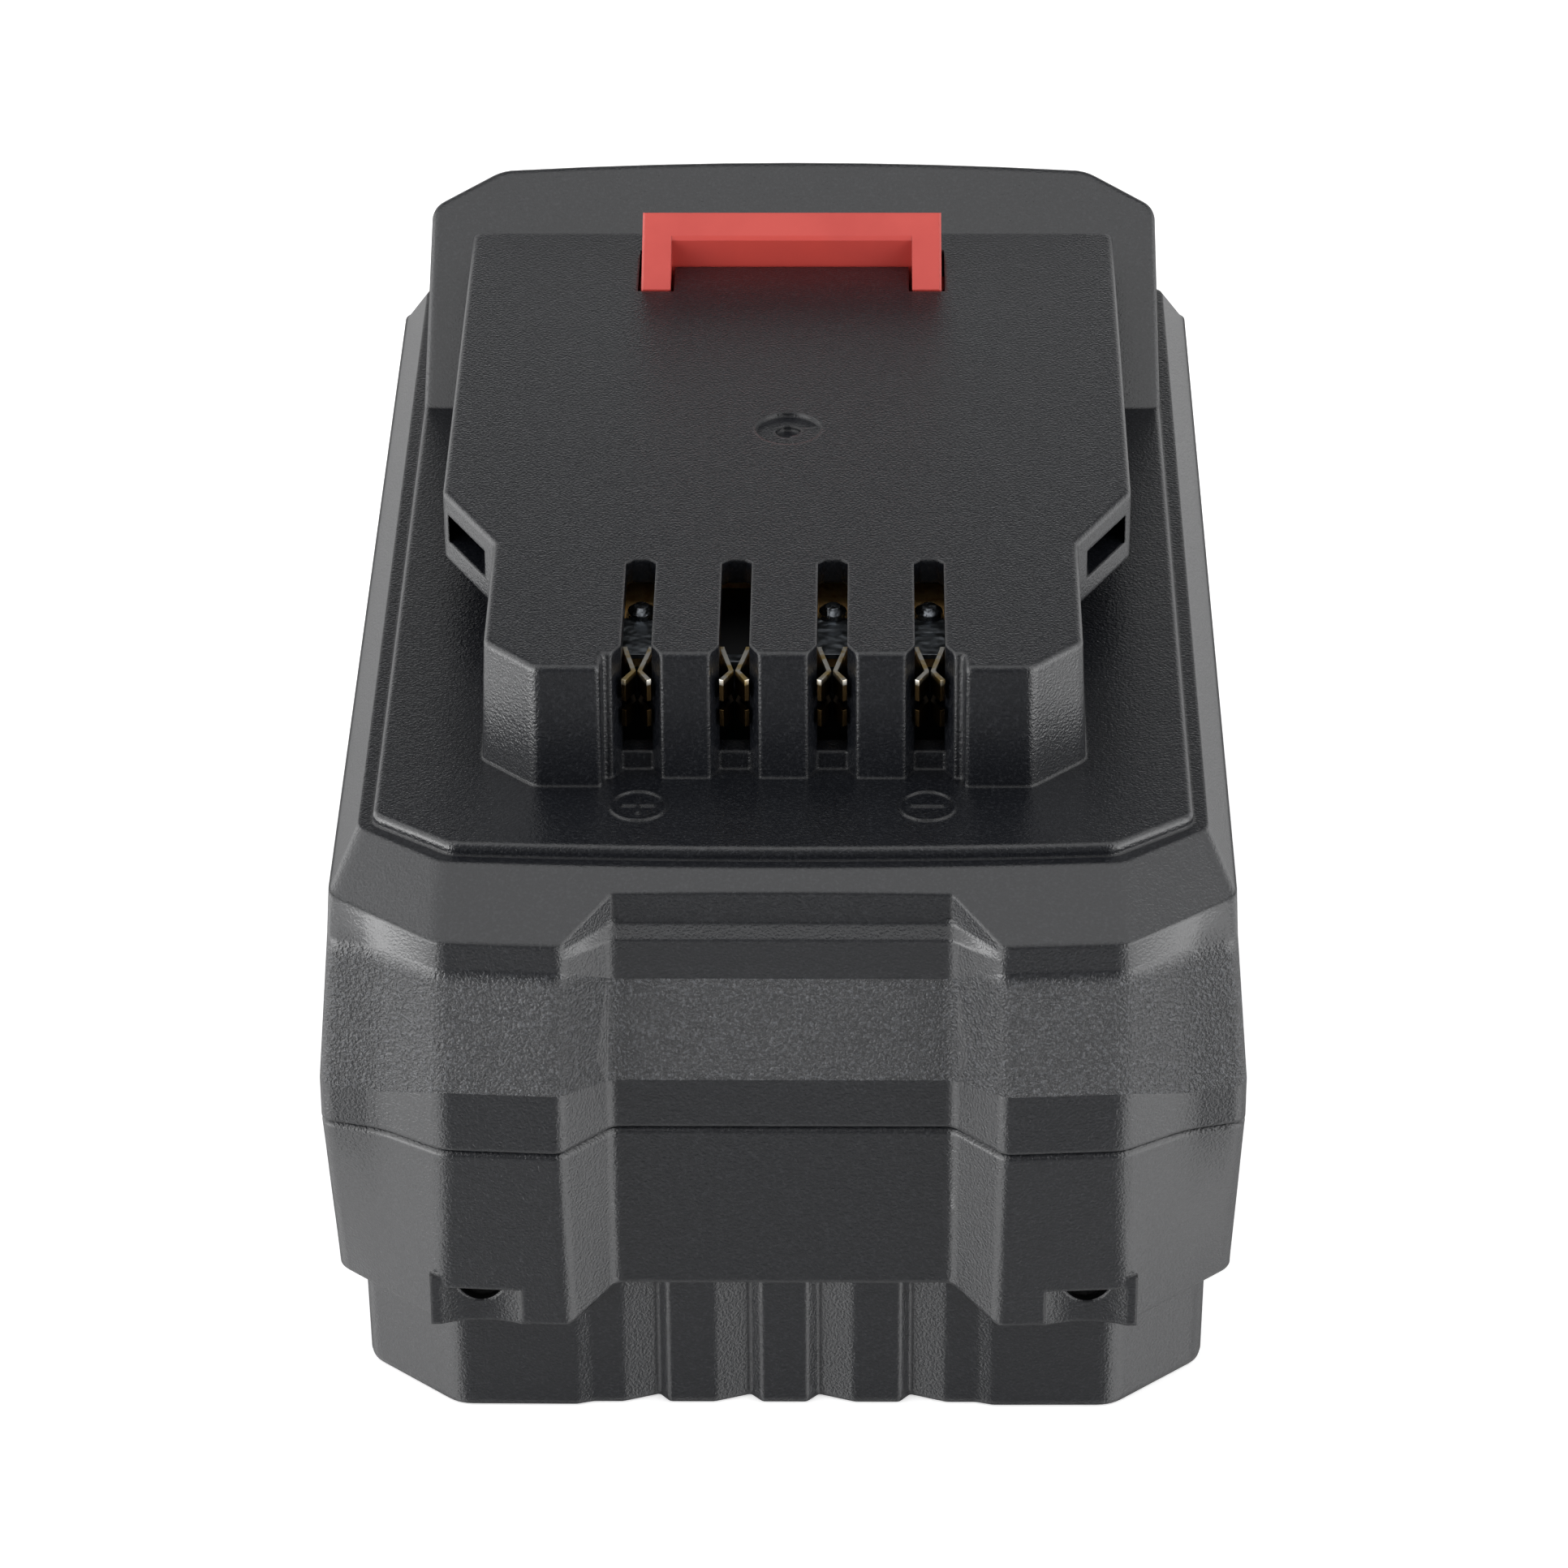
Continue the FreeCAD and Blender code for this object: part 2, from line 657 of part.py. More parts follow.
def contact_slots():
    """Four slots from the plate's front into the hollow, with chamfered mouths that run down to the deck."""
    cutters = []
    half = slot_width / 2
    flare = half + tooth_chamfer
    rear = front_y + slot_rear
    start = front_y + plate_front_back
    upwards = Vector(0, 0, plate_z + 1.0 - slot_floor_z)
    mouth_foot_y = front_y + plate_front_back + contact_zone_foot_back - plate_draft
    lean = Vector(0, contact_zone_back - contact_zone_foot_back + plate_draft, plate_z - border_z)
    for x in slot_centres:
        slot = [(x - half, start), (x + half, start), (x + half, rear - 0.5), (x + half - 0.5, rear),
                (x - half + 0.5, rear), (x - half, rear - 0.5)]
        cutters.append(prism([Vector(px, py, slot_floor_z) for px, py in slot], upwards))
        mouth = [(x - flare, 0.0), (x - flare, -1.0), (x + flare, -1.0), (x + flare, 0.0),
                 (x + half, tooth_chamfer_depth), (x - half, tooth_chamfer_depth)]
        leaning = prism([Vector(px, mouth_foot_y + back, border_z) for px, back in mouth], lean * 1.1)
        cutters.append(leaning.cut(box(x - 5, x + 5, front_y, rear_y, border_z - 1, deck_z)))
    return cutters


def latch_opening():
    """U-shaped opening in the plate for the claw."""
    outer = latch_half + touch_gap
    inner = latch_half - latch_leg - touch_gap
    tip = rear_y - latch_tip_rear - touch_gap
    inside_wall = rear_y - latch_wall_rear - touch_gap
    back = rear_y - latch_back_rear + touch_gap
    low, high = plate_under_z - 1.0, plate_z + 1.0
    legs = both_sides(box(inner, outer, tip, back, low, high))
    return fuse(legs + [box(-outer, outer, inside_wall, back, low, high)])


def button_window():
    """Window in the hood's rear face for the release button."""
    deep = rear_y - hood_ridge_rear - 1.4
    return box(-window_half, window_half, deep, rear_y, window_low_z, window_high_z)


def flange_pockets():
    """Mould pocket in each slanted face of the flange."""
    low = flange_z + pocket_low
    start = front_y + plate_slant_start - 2.0
    pocket = box(pocket_inner, plate_wide_half - pocket_wall, start,
                 front_y + plate_slant_end + pocket_length, low, low + pocket_height)
    return both_sides(pocket)


def gate_mark():
    """Shallow round gate recess in the plate with a dimple in it and one sector standing higher."""
    y = front_y + gate_back
    top = plate_z + 1.0
    recess = post(0, y, plate_z - gate_depth, top, gate_radius)
    reach = 2 * gate_radius
    corners = [Vector(0, y, plate_z - gate_depth)]
    for angle in (gate_step_angles[0], sum(gate_step_angles) / 2, gate_step_angles[1]):
        turn = math.radians(angle)
        corners.append(corners[0] + Vector(reach * math.cos(turn), reach * math.sin(turn), 0))
    recess = recess.cut(prism(corners, Vector(0, 0, gate_step)))
    dimple = post(0, y, plate_z - gate_depth - gate_dimple_depth, top, gate_dimple_radius)
    return recess.fuse(dimple)


def polarity_marks():
    """Low round marks on the deck in front of the outer contacts: plus and minus."""
    z0, z1 = deck_z - 0.2, deck_z + mark_height
    y = front_y + mark_back
    arm = mark_radius * 0.55
    line = mark_line / 2
    marks = []
    for x in (-mark_half_x, mark_half_x):
        rim = post(x, y, z0, z1, mark_radius)
        marks.append(rim.cut(post(x, y, z0 - 1, z1 + 1, mark_radius - mark_line)))
        marks.append(box(x - arm, x + arm, y - line, y + line, z0, z1))
    marks.append(box(-mark_half_x - line, -mark_half_x + line, y - arm, y + arm, z0, z1))
    return marks


def upper_bosses():
    """Screw bosses hanging from the shoulder, webs to the wall, and ribs that hold the cells."""
    shapes = []
    for x, y in screw_spots:
        outwards = 1 if x > 0 else -1
        end = 1 if y > 0 else -1
        shapes.append(post(x, y, parting_z + lap_height + 0.2, border_z, screw_boss_radius - 0.5))
        x0, x1 = sorted((x, x + outwards * 9.0))
        y0, y1 = sorted((y, y + end * 7.0))
        shapes.append(box(x - 0.8, x + 0.8, y0, y1, parting_z + lap_height + 4.0, border_z))
        shapes.append(box(x0, x1, y - 0.8, y + 0.8, parting_z + lap_height + 4.0, border_z))
    foam_top = holder_top_z + foam_thickness
    for y in rib_ys:
        for sign in (-1, 1):
            x0, x1 = sorted((sign * (cell_end_x - 2.0), sign * (cell_end_x - 0.5)))
            shapes.append(box(x0, x1, y - rib_half, y + rib_half, foam_top, deck_z - 0.5))
            x0, x1 = sorted((sign * sheet_out_x, sign * side_x))
            rib_low = parting_z + lap_height + 1.0
            shapes.append(box(x0, x1, y - rib_half, y - rib_half + 1.5, rib_low, foam_top))
    return shapes


def upper_housing():
    """Upper shell with shoulder, deck, hood and rail plate."""
    walls = ruled_solid([soft_wire(level, body_cuts) for level in upper_levels()])
    outside = fuse([walls, shoulder_solid(), deck_pad(), hood_solid(), plate_solid()])
    shell = outside.cut(fuse([body_cavity(), hood_cavity(), plate_cavity()]))
    supports = fuse(upper_bosses()).common(outside)
    supports = supports.cut(hood_cavity())
    shell = shell.fuse(supports)
    joint = parting_plan()
    tongue_room = sharp_wire(inset(body_level(joint, joint, [parting_z - 1.0] * 5), wall / 2 - 0.05))
    shell = shell.cut(Part.Face(tongue_room).extrude(Vector(0, 0, lap_height + 1.0)))
    cutters = contact_slots() + flange_pockets() + [latch_opening(), button_window(), gate_mark()]
    for x, y in screw_spots:
        cutters.append(post(x, y, parting_z, screw_seat_z + screw_length + 2.0, screw_pilot_radius))
    shell = shell.cut(cutters)
    return shell.fuse(polarity_marks()).removeSplitter()


# ---------------------------------------------------------------- lower housing
def foot_plan(z):
    """Half outline of the foot with its flutes, front and rear alike."""
    drop = foot_draft * (1.0 - z / skirt_z)
    back = foot_front_back + drop
    half = [(flute_edges[0][0], back)]
    for start, bottom, end in flute_edges:
        if start > half[-1][0]:
            half.append((start, back))
        half.append((bottom, back + flute_depth))
        half.append((end, back))
    half.append((foot_land_end, back))
    half.append((foot_pillar_start, back - foot_pillar_proud))
    half.append((side_x - foot_corner_in, back - foot_pillar_proud + 0.05))
    half.append((side_x - foot_side_in - drop, foot_side_back))
    front = [(x, front_y + b, z) for x, b in half]
    rear = [(x, rear_y - b, z) for x, b in reversed(half)]
    return ring(front + rear)


def foot_cuts():
    """Rounding of the foot's corners."""
    count = len(foot_plan(0.0)) // 4
    cuts = [0.25] * (count - 2) + [1.2, 1.4]
    cuts = cuts + cuts[::-1]
    return cuts + cuts


def skirt_level(z):
    """Outline of the skirt between its lower edge and the joint."""
    share = (z - skirt_z) / (parting_z - skirt_z)
    low, high = skirt_plan(), parting_plan()
    mixed = [(a[0] + (b[0] - a[0]) * share, a[1] + (b[1] - a[1]) * share) for a, b in zip(low, high)]
    return body_level(mixed, mixed, [z] * 5)


def plain_foot(z, distance):
    """Foot outline without flutes, moved inwards."""
    corners = foot_plan(z)
    quarter = len(corners) // 4
    right_front = [corners[quarter - 2], corners[quarter - 1]]
    half = [(c.x, c.y, z) for c in right_front] + [(c.x, -c.y, z) for c in reversed(right_front)]
    return at_height(inset(ring(half), distance), z)


def underside():
    """Space below the skirt's underside, which slopes up from the skirt's lower edge to the foot."""
    plan = skirt_plan()[1:]
    half = [(x, front_y + back, skirt_z) for x, back in plan]
    half += [(x, rear_y - back, skirt_z) for x, back in reversed(plan)]
    low = inset(ring(half), underside_edge)
    high = at_height(inset(low, underside_reach), skirt_z + underside_reach * slope)
    return ruled_solid([sharp_wire(at_height(low, skirt_z - 1.0)), sharp_wire(low), sharp_wire(high)])


def lower_outside():
    """Skirt with a chamfered top edge, over the narrower fluted foot with a softened lower edge."""
    top_z = parting_z - parting_gap
    wires = [soft_wire(skirt_level(skirt_z), body_cuts),
             soft_wire(skirt_level(top_z - parting_chamfer), body_cuts),
             soft_wire(at_height(inset(skirt_level(top_z), parting_chamfer), top_z), body_cuts)]
    skirt = ruled_solid(wires).cut(underside())
    cuts = foot_cuts()
    wires = [soft_wire(at_height(inset(foot_plan(0.0), foot_edge * 0.5), 0.0), cuts),
             soft_wire(at_height(inset(foot_plan(0.0), foot_edge * 0.15), foot_edge * 0.25), cuts),
             soft_wire(foot_plan(foot_edge), cuts),
             soft_wire(foot_plan(skirt_z), cuts),
             soft_wire(at_height(foot_plan(skirt_z), foot_top_z), cuts)]
    foot = ruled_solid(wires)
    notch_backs = []
    for x, y in screw_spots:
        end = 1 if y > 0 else -1
        y0, y1 = sorted((end * (rear_y - notch_depth), y))
        half = notch_half + notch_back_margin
        notch_backs.append(box(x - half, x + half, y0, y1, skirt_z - notch_back_low, step_z))
    return fuse([skirt, foot] + notch_backs)


def notch_cutters(x, y):
    """Notch in the skirt in front of a screw, and the small window behind it that shows the screw's head."""
    end = 1 if y > 0 else -1
    half = notch_half
    y0, y1 = sorted((end * (rear_y + 1.0), end * (rear_y - notch_depth)))
    front = box(x - half, x + half, y0, y1, skirt_z - 1.0, notch_top_z)
    sagitta = notch_hollow_radius - math.sqrt(notch_hollow_radius ** 2 - half ** 2)
    axis_y = end * (rear_y - notch_depth + notch_hollow_radius - sagitta)
    hollow = post(x, axis_y, skirt_z - 1.0, notch_top_z, notch_hollow_radius)
    y0, y1 = sorted((end * (rear_y - notch_depth + 0.2), y))
    hollow = hollow.common(box(x - half, x + half, y0, y1, skirt_z - 1.0, notch_top_z))
    deep = notch_depth + sagitta
    axis_z = notch_top_z - notch_window_drop + notch_window_radius
    start = Vector(x, end * (rear_y - deep + 1.0), axis_z + slope)
    run = (screw_back - screw_bore_radius - deep + 1.6) * math.hypot(1.0, slope)
    window = Part.makeCylinder(notch_window_radius, run, start, Vector(0, -end, -slope))
    window = window.common(box(x - half, x + half, -length, length, 0, notch_top_z))
    return [front, hollow, window]


def lower_cavity(gap):
    """Hollow of the lower housing, less a gap all round."""
    foot = ruled_solid([sharp_wire(plain_foot(floor_thickness, wall + gap)),
                        sharp_wire(at_height(plain_foot(skirt_z, wall + gap), step_z + 0.5))])
    fluted_half = foot_pillar_start + wall + gap
    fluted_y = rear_y - foot_front_back - foot_draft - flute_depth - flute_wall - gap
    for sign in (-1, 1):
        y0, y1 = sorted((sign * fluted_y, sign * rear_y))
        foot = foot.cut(box(-fluted_half, fluted_half, y0, y1, 0, step_z + 1.0))
    top_z = parting_z + lap_height + 1.0
    skirt = ruled_solid([sharp_wire(at_height(inset(skirt_level(step_z), wall + gap), step_z)),
                         sharp_wire(at_height(inset(skirt_level(parting_z), wall + gap), top_z))])
    return fuse([foot, skirt])


def lower_housing():
    """Lower shell: skirt, fluted foot, tongue, screw bores and ribs."""
    outside = lower_outside()
    joint = parting_plan()
    tongue_plan = inset(body_level(joint, joint, [0.0] * 5), wall / 2 + 0.05)
    tongue = Part.Face(sharp_wire(at_height(tongue_plan, parting_z - 3.0)))
    tongue = tongue.extrude(Vector(0, 0, lap_height + 3.0))
    pockets = [insulating_sheet(sign, sheet_clearance) for sign in (-1, 1)]
    shell = fuse([outside, tongue]).cut([lower_cavity(0.0)] + pockets)
    bosses = [post(x, y, 0.5, parting_z + lap_height, screw_boss_radius) for x, y in screw_spots]
    ribs = []
    for y in rib_ys:
        for sign in (-1, 1):
            x0, x1 = sorted((sign * sheet_out_x, sign * (side_x - 1.5)))
            ribs.append(box(x0, x1, y - rib_half, y - rib_half + 1.5, step_z, parting_z - 1.0))
    inner = fuse([outside, tongue])
    shell = shell.fuse([shape.common(inner) for shape in bosses + ribs])
    cutters = []
    for x, y in screw_spots:
        cutters.append(post(x, y, -1.0, screw_seat_z, screw_bore_radius))
        cutters.append(post(x, y, 0.0, parting_z + 5.0, screw_shank_radius + 0.2))
        cutters += notch_cutters(x, y)
    return shell.cut(cutters).removeSplitter()


# ---------------------------------------------------------------- latch, springs and seat
def latch():
    """Red latch in one piece: claw, stops, web, and the release button in the hood's rear window."""
    tip_y = rear_y - latch_tip_rear
    wall_y = rear_y - latch_wall_rear
    back_y = rear_y - latch_back_rear

    def top_at(y):
        return latch_top_z + (y - back_y) * slope

    def side_view(profile, x0, x1):
        return prism([Vector(x0, y, z) for y, z in profile], Vector(x1 - x0, 0, 0))

    leg = [(tip_y, latch_web_z), (back_y, latch_web_z), (back_y, latch_top_z - 0.25),
           (back_y - 0.25, top_at(back_y - 0.25)), (tip_y, top_at(tip_y))]
    bar = [(wall_y, latch_web_z), (back_y, latch_web_z), (back_y, latch_top_z - 0.25),
           (back_y - 0.25, top_at(back_y - 0.25)), (wall_y + 0.3, top_at(wall_y + 0.3)),
           (wall_y, top_at(wall_y) - 0.2)]
    claw = fuse([side_view(leg, latch_half - latch_leg, latch_half),
                 side_view(leg, latch_leg - latch_half, -latch_half),
                 side_view(bar, -latch_half, latch_half)])

    def top_side(p):
        return abs(abs(p.x) - latch_half) < 1e-6 and abs(p.z - top_at(p.y)) < 1e-6

    claw = claw.makeChamfer(0.2, edges_where(claw, top_side))
    shapes = [claw]
    wing_top = plate_under_z - touch_gap
    shapes += both_sides(box(latch_half - 1.0, wing_half, wall_y, back_y, wing_top - wing_thickness, wing_top))
    web_top = latch_web_z + latch_web_thickness
    skirt_out_y = rear_y - button_skirt_rear
    skirt_in_y = skirt_out_y - button_skirt_thickness
    skirt_half = window_half - 2 * touch_gap
    shapes.append(box(-latch_half, latch_half, tip_y, back_y, latch_web_z, web_top))
    shapes.append(box(-skirt_half, skirt_half, back_y - 1.0, skirt_out_y, latch_web_z, web_top))
    pad_low = window_low_z + latch_travel + touch_gap
    pad_high = window_high_z - touch_gap
    skirt_low = window_low_z - 3.2
    shapes.append(box(-skirt_half, skirt_half, skirt_in_y, skirt_out_y, skirt_low, pad_high))

    def face_y(z):
        return rear_y - hood_foot_rear - (z - border_z) * hood_lean + button_proud

    profile = [(skirt_in_y, pad_low), (face_y(pad_low) - 0.4, pad_low), (face_y(pad_low + 0.4), pad_low + 0.4),
               (face_y(pad_high - 0.5), pad_high - 0.5), (face_y(pad_high) - 0.5, pad_high),
               (skirt_in_y, pad_high)]
    pad_half = window_half - touch_gap
    shapes.append(side_view(profile, -pad_half, pad_half))
    step = (pad_high - pad_low) / (button_rib_count + 1)
    for i in range(button_rib_count):
        z = pad_low + step * (i + 1)
        rib = [(face_y(z) - 0.5, z - 0.45), (face_y(z) + button_rib_height, z - 0.2),
               (face_y(z) + button_rib_height, z + 0.2), (face_y(z) - 0.5, z + 0.45)]
        shapes.append(side_view(rib, 1.5 - pad_half, pad_half - 1.5))
    spring_y = rear_y - spring_rear
    for x in (-spring_half, spring_half):
        shapes.append(post(x, spring_y, latch_web_z - web_peg_height, latch_web_z + 0.5, seat_peg_radius))
    return fuse(shapes)


def latch_spring(x):
    """Compression spring between its seat and the latch's web."""
    low = seat_top_z + spring_wire_radius + 0.02
    high = latch_web_z - spring_wire_radius - 0.02
    radius = spring_outer_radius - spring_wire_radius
    helix = Part.makeHelix((high - low) / spring_turns, high - low, radius)
    start = helix.Edges[0].valueAt(helix.Edges[0].FirstParameter)
    direction = helix.Edges[0].tangentAt(helix.Edges[0].FirstParameter)
    section = Part.Wire(Part.Circle(start, direction, spring_wire_radius).toShape())
    coil = Part.Wire(helix.Edges).makePipeShell([section], True, True)
    coil.translate(Vector(x, rear_y - spring_rear, low))
    return coil


def spring_seat():
    """Bridge across the two cell holders with a peg for each spring."""
    plate = box(-seat_half, seat_half, seat_front_y, rear_y - seat_back_rear, holder_top_z, seat_top_z)
    plate = plate.makeChamfer(0.4, edges_where(plate, lambda p: abs(p.z - seat_top_z) < 1e-6))
    shapes = [plate]
    spring_y = rear_y - spring_rear
    for x in (-spring_half, spring_half):
        shapes.append(post(x, spring_y, holder_top_z, seat_top_z + seat_peg_height, seat_peg_radius))
    seat = fuse(shapes)
    holes = [post(x, seat_screw_y, holder_top_z - 1, seat_top_z + 1, board_screw_radius + 0.2)
             for x in (-post_half_x, post_half_x)]
    return seat.cut(holes)


# ---------------------------------------------------------------- cells and what joins them
def cell(row, column):
    """One round cell lying across the pack, its button end on the side its column calls for."""
    r = cell_radius
    profile = [(0, 0), (r - 0.9, 0), (r, 0.5), (r, cell_length - 4.0), (r - 0.35, cell_length - 3.6),
               (r - 0.35, cell_length - 3.2), (r, cell_length - 2.8), (r, cell_length - 0.9),
               (r - 0.5, cell_length - 0.4), (4.4, cell_length - 0.4), (4.0, cell_length), (0, cell_length)]
    corners = [Vector(along - cell_length / 2, out, 0) for out, along in profile]
    can = Part.Face(sharp_wire(corners)).revolve(Vector(0, 0, 0), Vector(1, 0, 0), 360)
    if column % 2:
        can.rotate(Vector(0, 0, 0), Vector(0, 0, 1), 180)
    can.translate(Vector(0, column_ys[column], axis_heights[row]))
    return can


def cell_holder(sign):
    """Holder round one end of all the cells, with board posts on top and relief for the screw bosses."""
    x0, x1 = cell_end_x - holder_depth, cell_end_x
    raw = box(x0, x1, -holder_end_y, holder_end_y, floor_thickness, holder_top_z)
    upright = edges_where(raw, lambda p: abs(p.x - x1) < 1e-6 and abs(abs(p.y) - holder_end_y) < 1e-6)
    raw = raw.makeChamfer(2.5, upright)
    low = raw.common(box(x0 - 1, x1 + 1, -length, length, 0, step_z)).common(lower_cavity(fit_gap))
    high = raw.common(box(x0 - 1, x1 + 1, -length, length, step_z, holder_top_z + 1))
    shapes = [low, high]
    shapes += [post(post_half_x, y, holder_top_z - 0.5, board_z, post_radius) for y in post_ys]
    holder = fuse(shapes)
    cutters = [Part.makeCylinder(holder_radius, holder_depth + 2, Vector(x0 - 1, y, z), Vector(1, 0, 0))
               for y in column_ys for z in axis_heights]
    cutters += [post(x, y, 0, board_z + 5, screw_boss_radius + fit_gap) for x, y in screw_spots if x > 0]
    cutters += [post(post_half_x, y, board_z - 5.0, board_z + 1, post_pilot_radius) for y in post_ys]
    cutters.append(post(post_half_x, seat_screw_y, holder_top_z - 4.2, holder_top_z + 1, post_pilot_radius))
    holder = holder.cut(cutters)
    if sign < 0:
        holder = holder.mirror(Vector(0, 0, 0), Vector(1, 0, 0))
    return holder


def nickel_strip(sign, first, last, tab_y):
    """Strip welded over one or two columns, with a tab that rises and folds over onto the board."""
    x0, x1 = cell_end_x, cell_end_x + strip_thickness
    low, high = axis_heights[0] - strip_half_height, axis_heights[-1] + strip_half_height
    y0, y1 = column_ys[first] - strip_end_overhang, column_ys[last] + strip_end_overhang
    shapes = [box(x0, x1, y0, y1, low, high)]
    tab_low = high - 1.0
    if not y0 + tab_half < tab_y < y1 - tab_half:
        tab_low = holder_top_z + 0.5
        shapes.append(box(x0, x1, y0 + 1.0, y0 + 1.0 + 2 * tab_half, high - 1.0, board_z))
        shapes.append(box(x0, x1, tab_y - tab_half, y0 + 1.0 + 2 * tab_half, tab_low, board_z))
    shapes.append(box(x0, x1, tab_y - tab_half, tab_y + tab_half, tab_low, board_top_z + strip_thickness))
    shapes.append(box(board_half - tab_reach, x1, tab_y - tab_half, tab_y + tab_half,
                      board_top_z, board_top_z + strip_thickness))
    strip = fuse(shapes)
    slits = [box(x0 - 1, x1 + 1, y - 0.3, y + 0.3, z - 2.5, z + 2.5)
             for y in column_ys[first:last + 1] for z in axis_heights]
    strip = strip.cut(slits)
    if sign < 0:
        strip = strip.mirror(Vector(0, 0, 0), Vector(1, 0, 0))
    return strip


def insulating_sheet(sign, clearance=0.0):
    """Thin sheet between the strips on one side and the housing, grown by a clearance for its pocket."""
    x0, x1 = sorted((sign * sheet_x, sign * (sheet_out_x + clearance)))
    reach = holder_end_y - 2.5 + clearance
    return box(x0, x1, -reach, reach, floor_thickness + 1.5 - clearance, holder_top_z - fit_gap + clearance)


def top_foam():
    """Foam strips between the holders and the ribs of the upper housing."""
    strips = []
    for sign in (-1, 1):
        x0, x1 = sorted((sign * (cell_end_x - 2.2), sign * (cell_end_x - 0.3)))
        strips.append(box(x0, x1, rib_ys[0] - rib_half - 1, rib_ys[2] + rib_half + 1,
                          holder_top_z, holder_top_z + foam_thickness))
    return Part.makeCompound(strips)


def end_foam():
    """Foam blocks between the end cells and the housing's end walls."""
    low, high = step_z + 0.5, parting_z - 1.5
    cans = [Part.makeCylinder(cell_radius, cell_length, Vector(-cell_end_x, y, z), Vector(1, 0, 0))
            for y in (column_ys[0], column_ys[-1]) for z in axis_heights]
    hollow = lower_cavity(0.0)
    blocks = []
    for sign in (-1, 1):
        y0, y1 = sorted((sign * rear_y, sign * column_ys[-1]))
        block = box(-12.0, 12.0, y0, y1, low, high).common(hollow).cut(cans)
        blocks.append(max(block.Solids, key=lambda s: abs(s.CenterOfMass.y)))
    return Part.makeCompound(blocks)


# ---------------------------------------------------------------- boards and contacts
def main_board():
    """Circuit board on the holders' posts."""
    board = box(-board_half, board_half, board_front_y, board_rear_y, board_z, board_top_z)
    holes = [post(x, y, board_z - 1, board_top_z + 1, board_screw_radius + 0.2)
             for x in (-post_half_x, post_half_x) for y in post_ys]
    holes += [post(x, valley_ys[1], board_z - 1, board_top_z + 1, lead_radius + 0.15) for x in lead_xs]
    return board.cut(holes)


def board_screws():
    """Small screws through the board and the spring seat into the holders."""
    screws = []
    spots = [(x, y, board_top_z) for x in (-post_half_x, post_half_x) for y in post_ys]
    spots += [(x, seat_screw_y, seat_top_z) for x in (-post_half_x, post_half_x)]
    for x, y, z in spots:
        head = post(x, y, z, z + board_screw_head_height, board_screw_head_radius)
        shank = post(x, y, z - board_screw_length, z + 0.5, board_screw_radius)
        drive = box(x - 1.2, x + 1.2, y - 0.25, y + 0.25, z + 0.7, z + 3)
        cross = box(x - 0.25, x + 0.25, y - 1.2, y + 1.2, z + 0.7, z + 3)
        screws.append(fuse([head, shank]).cut([drive, cross]).Solids[0])
    return Part.makeCompound(screws)


def housing_screws():
    """Four long screws driven up through the foot into the upper housing."""
    screws = []
    for x, y in screw_spots:
        low = screw_seat_z - screw_head_height
        head = post(x, y, low, screw_seat_z, screw_head_radius)
        shank = post(x, y, screw_seat_z - 0.5, screw_seat_z + screw_length, screw_shank_radius)
        points = []
        for i in range(12):
            reach = screw_drive_radius * (1.0 if i % 2 == 0 else 0.68)
            angle = math.radians(30 * i)
            points.append(Vector(x + reach * math.cos(angle), y + reach * math.sin(angle), low - 0.5))
        drive = prism(points, Vector(0, 0, screw_drive_depth + 0.5))
        screw = fuse([head, shank]).cut(drive)
        rim = edges_where(screw, lambda p: abs(p.z - low) < 1e-6
                          and abs(math.hypot(p.x - x, p.y - y) - screw_head_radius) < 1e-3)
        screws.append(screw.makeChamfer(0.5, rim).Solids[0])
    return Part.makeCompound(screws)


def terminal_block():
    """Moulded block that carries the terminal board and keeps the contacts apart."""
    y0, y1 = front_y + block_front_back, front_y + block_rear_back
    block = box(-block_half, block_half, y0, y1, board_top_z, terminal_board_z)
    windows = [box(x - 2.6, x + 2.6, y0 + 3.0, y1 - 3.0, board_top_z - 1, terminal_board_z - 1.5)
               for x in slot_centres]
    return block.cut(windows)


def terminal_board():
    """Small phenolic board under the rear of the slots; it is notched under the second slot."""
    y0, y1 = front_y + terminal_board_front, front_y + terminal_board_rear
    board = box(-terminal_board_half, terminal_board_half, y0, y1, terminal_board_z, terminal_board_top_z)
    x = slot_centres[1]
    notch = box(x - terminal_notch_half, x + terminal_notch_half, y0 - 1, front_y + terminal_notch_rear,
                terminal_board_z - 1, terminal_board_top_z + 1)
    return board.cut(notch)


def leaf(x, side):
    """One upright spring leaf, bowed towards its twin and slit into an upper and a lower finger."""
    points = [Vector(x + side * out, front_y + back, leaf_low_z) for out, back in leaf_path]
    half = leaf_thickness / 2
    outer, inner = [], []
    for i, point in enumerate(points):
        ahead = points[min(i + 1, len(points) - 1)] - points[max(i - 1, 0)]
        across = Vector(-ahead.y, ahead.x, 0).normalize() * half
        outer.append(point + across)
        inner.append(point - across)
    blade = prism(outer + inner[::-1], Vector(0, 0, leaf_height))
    rear = front_y + finger_rear
    slit_top, slit_low = leaf_top_z - finger_slit[0], leaf_top_z - finger_slit[1]
    slit = box(x - 5, x + 5, front_y, rear, slit_low, slit_top)
    heel = box(x - 5, x + 5, rear, 0, strap_top_z, leaf_top_z + 1)
    return blade.cut([slit, heel])


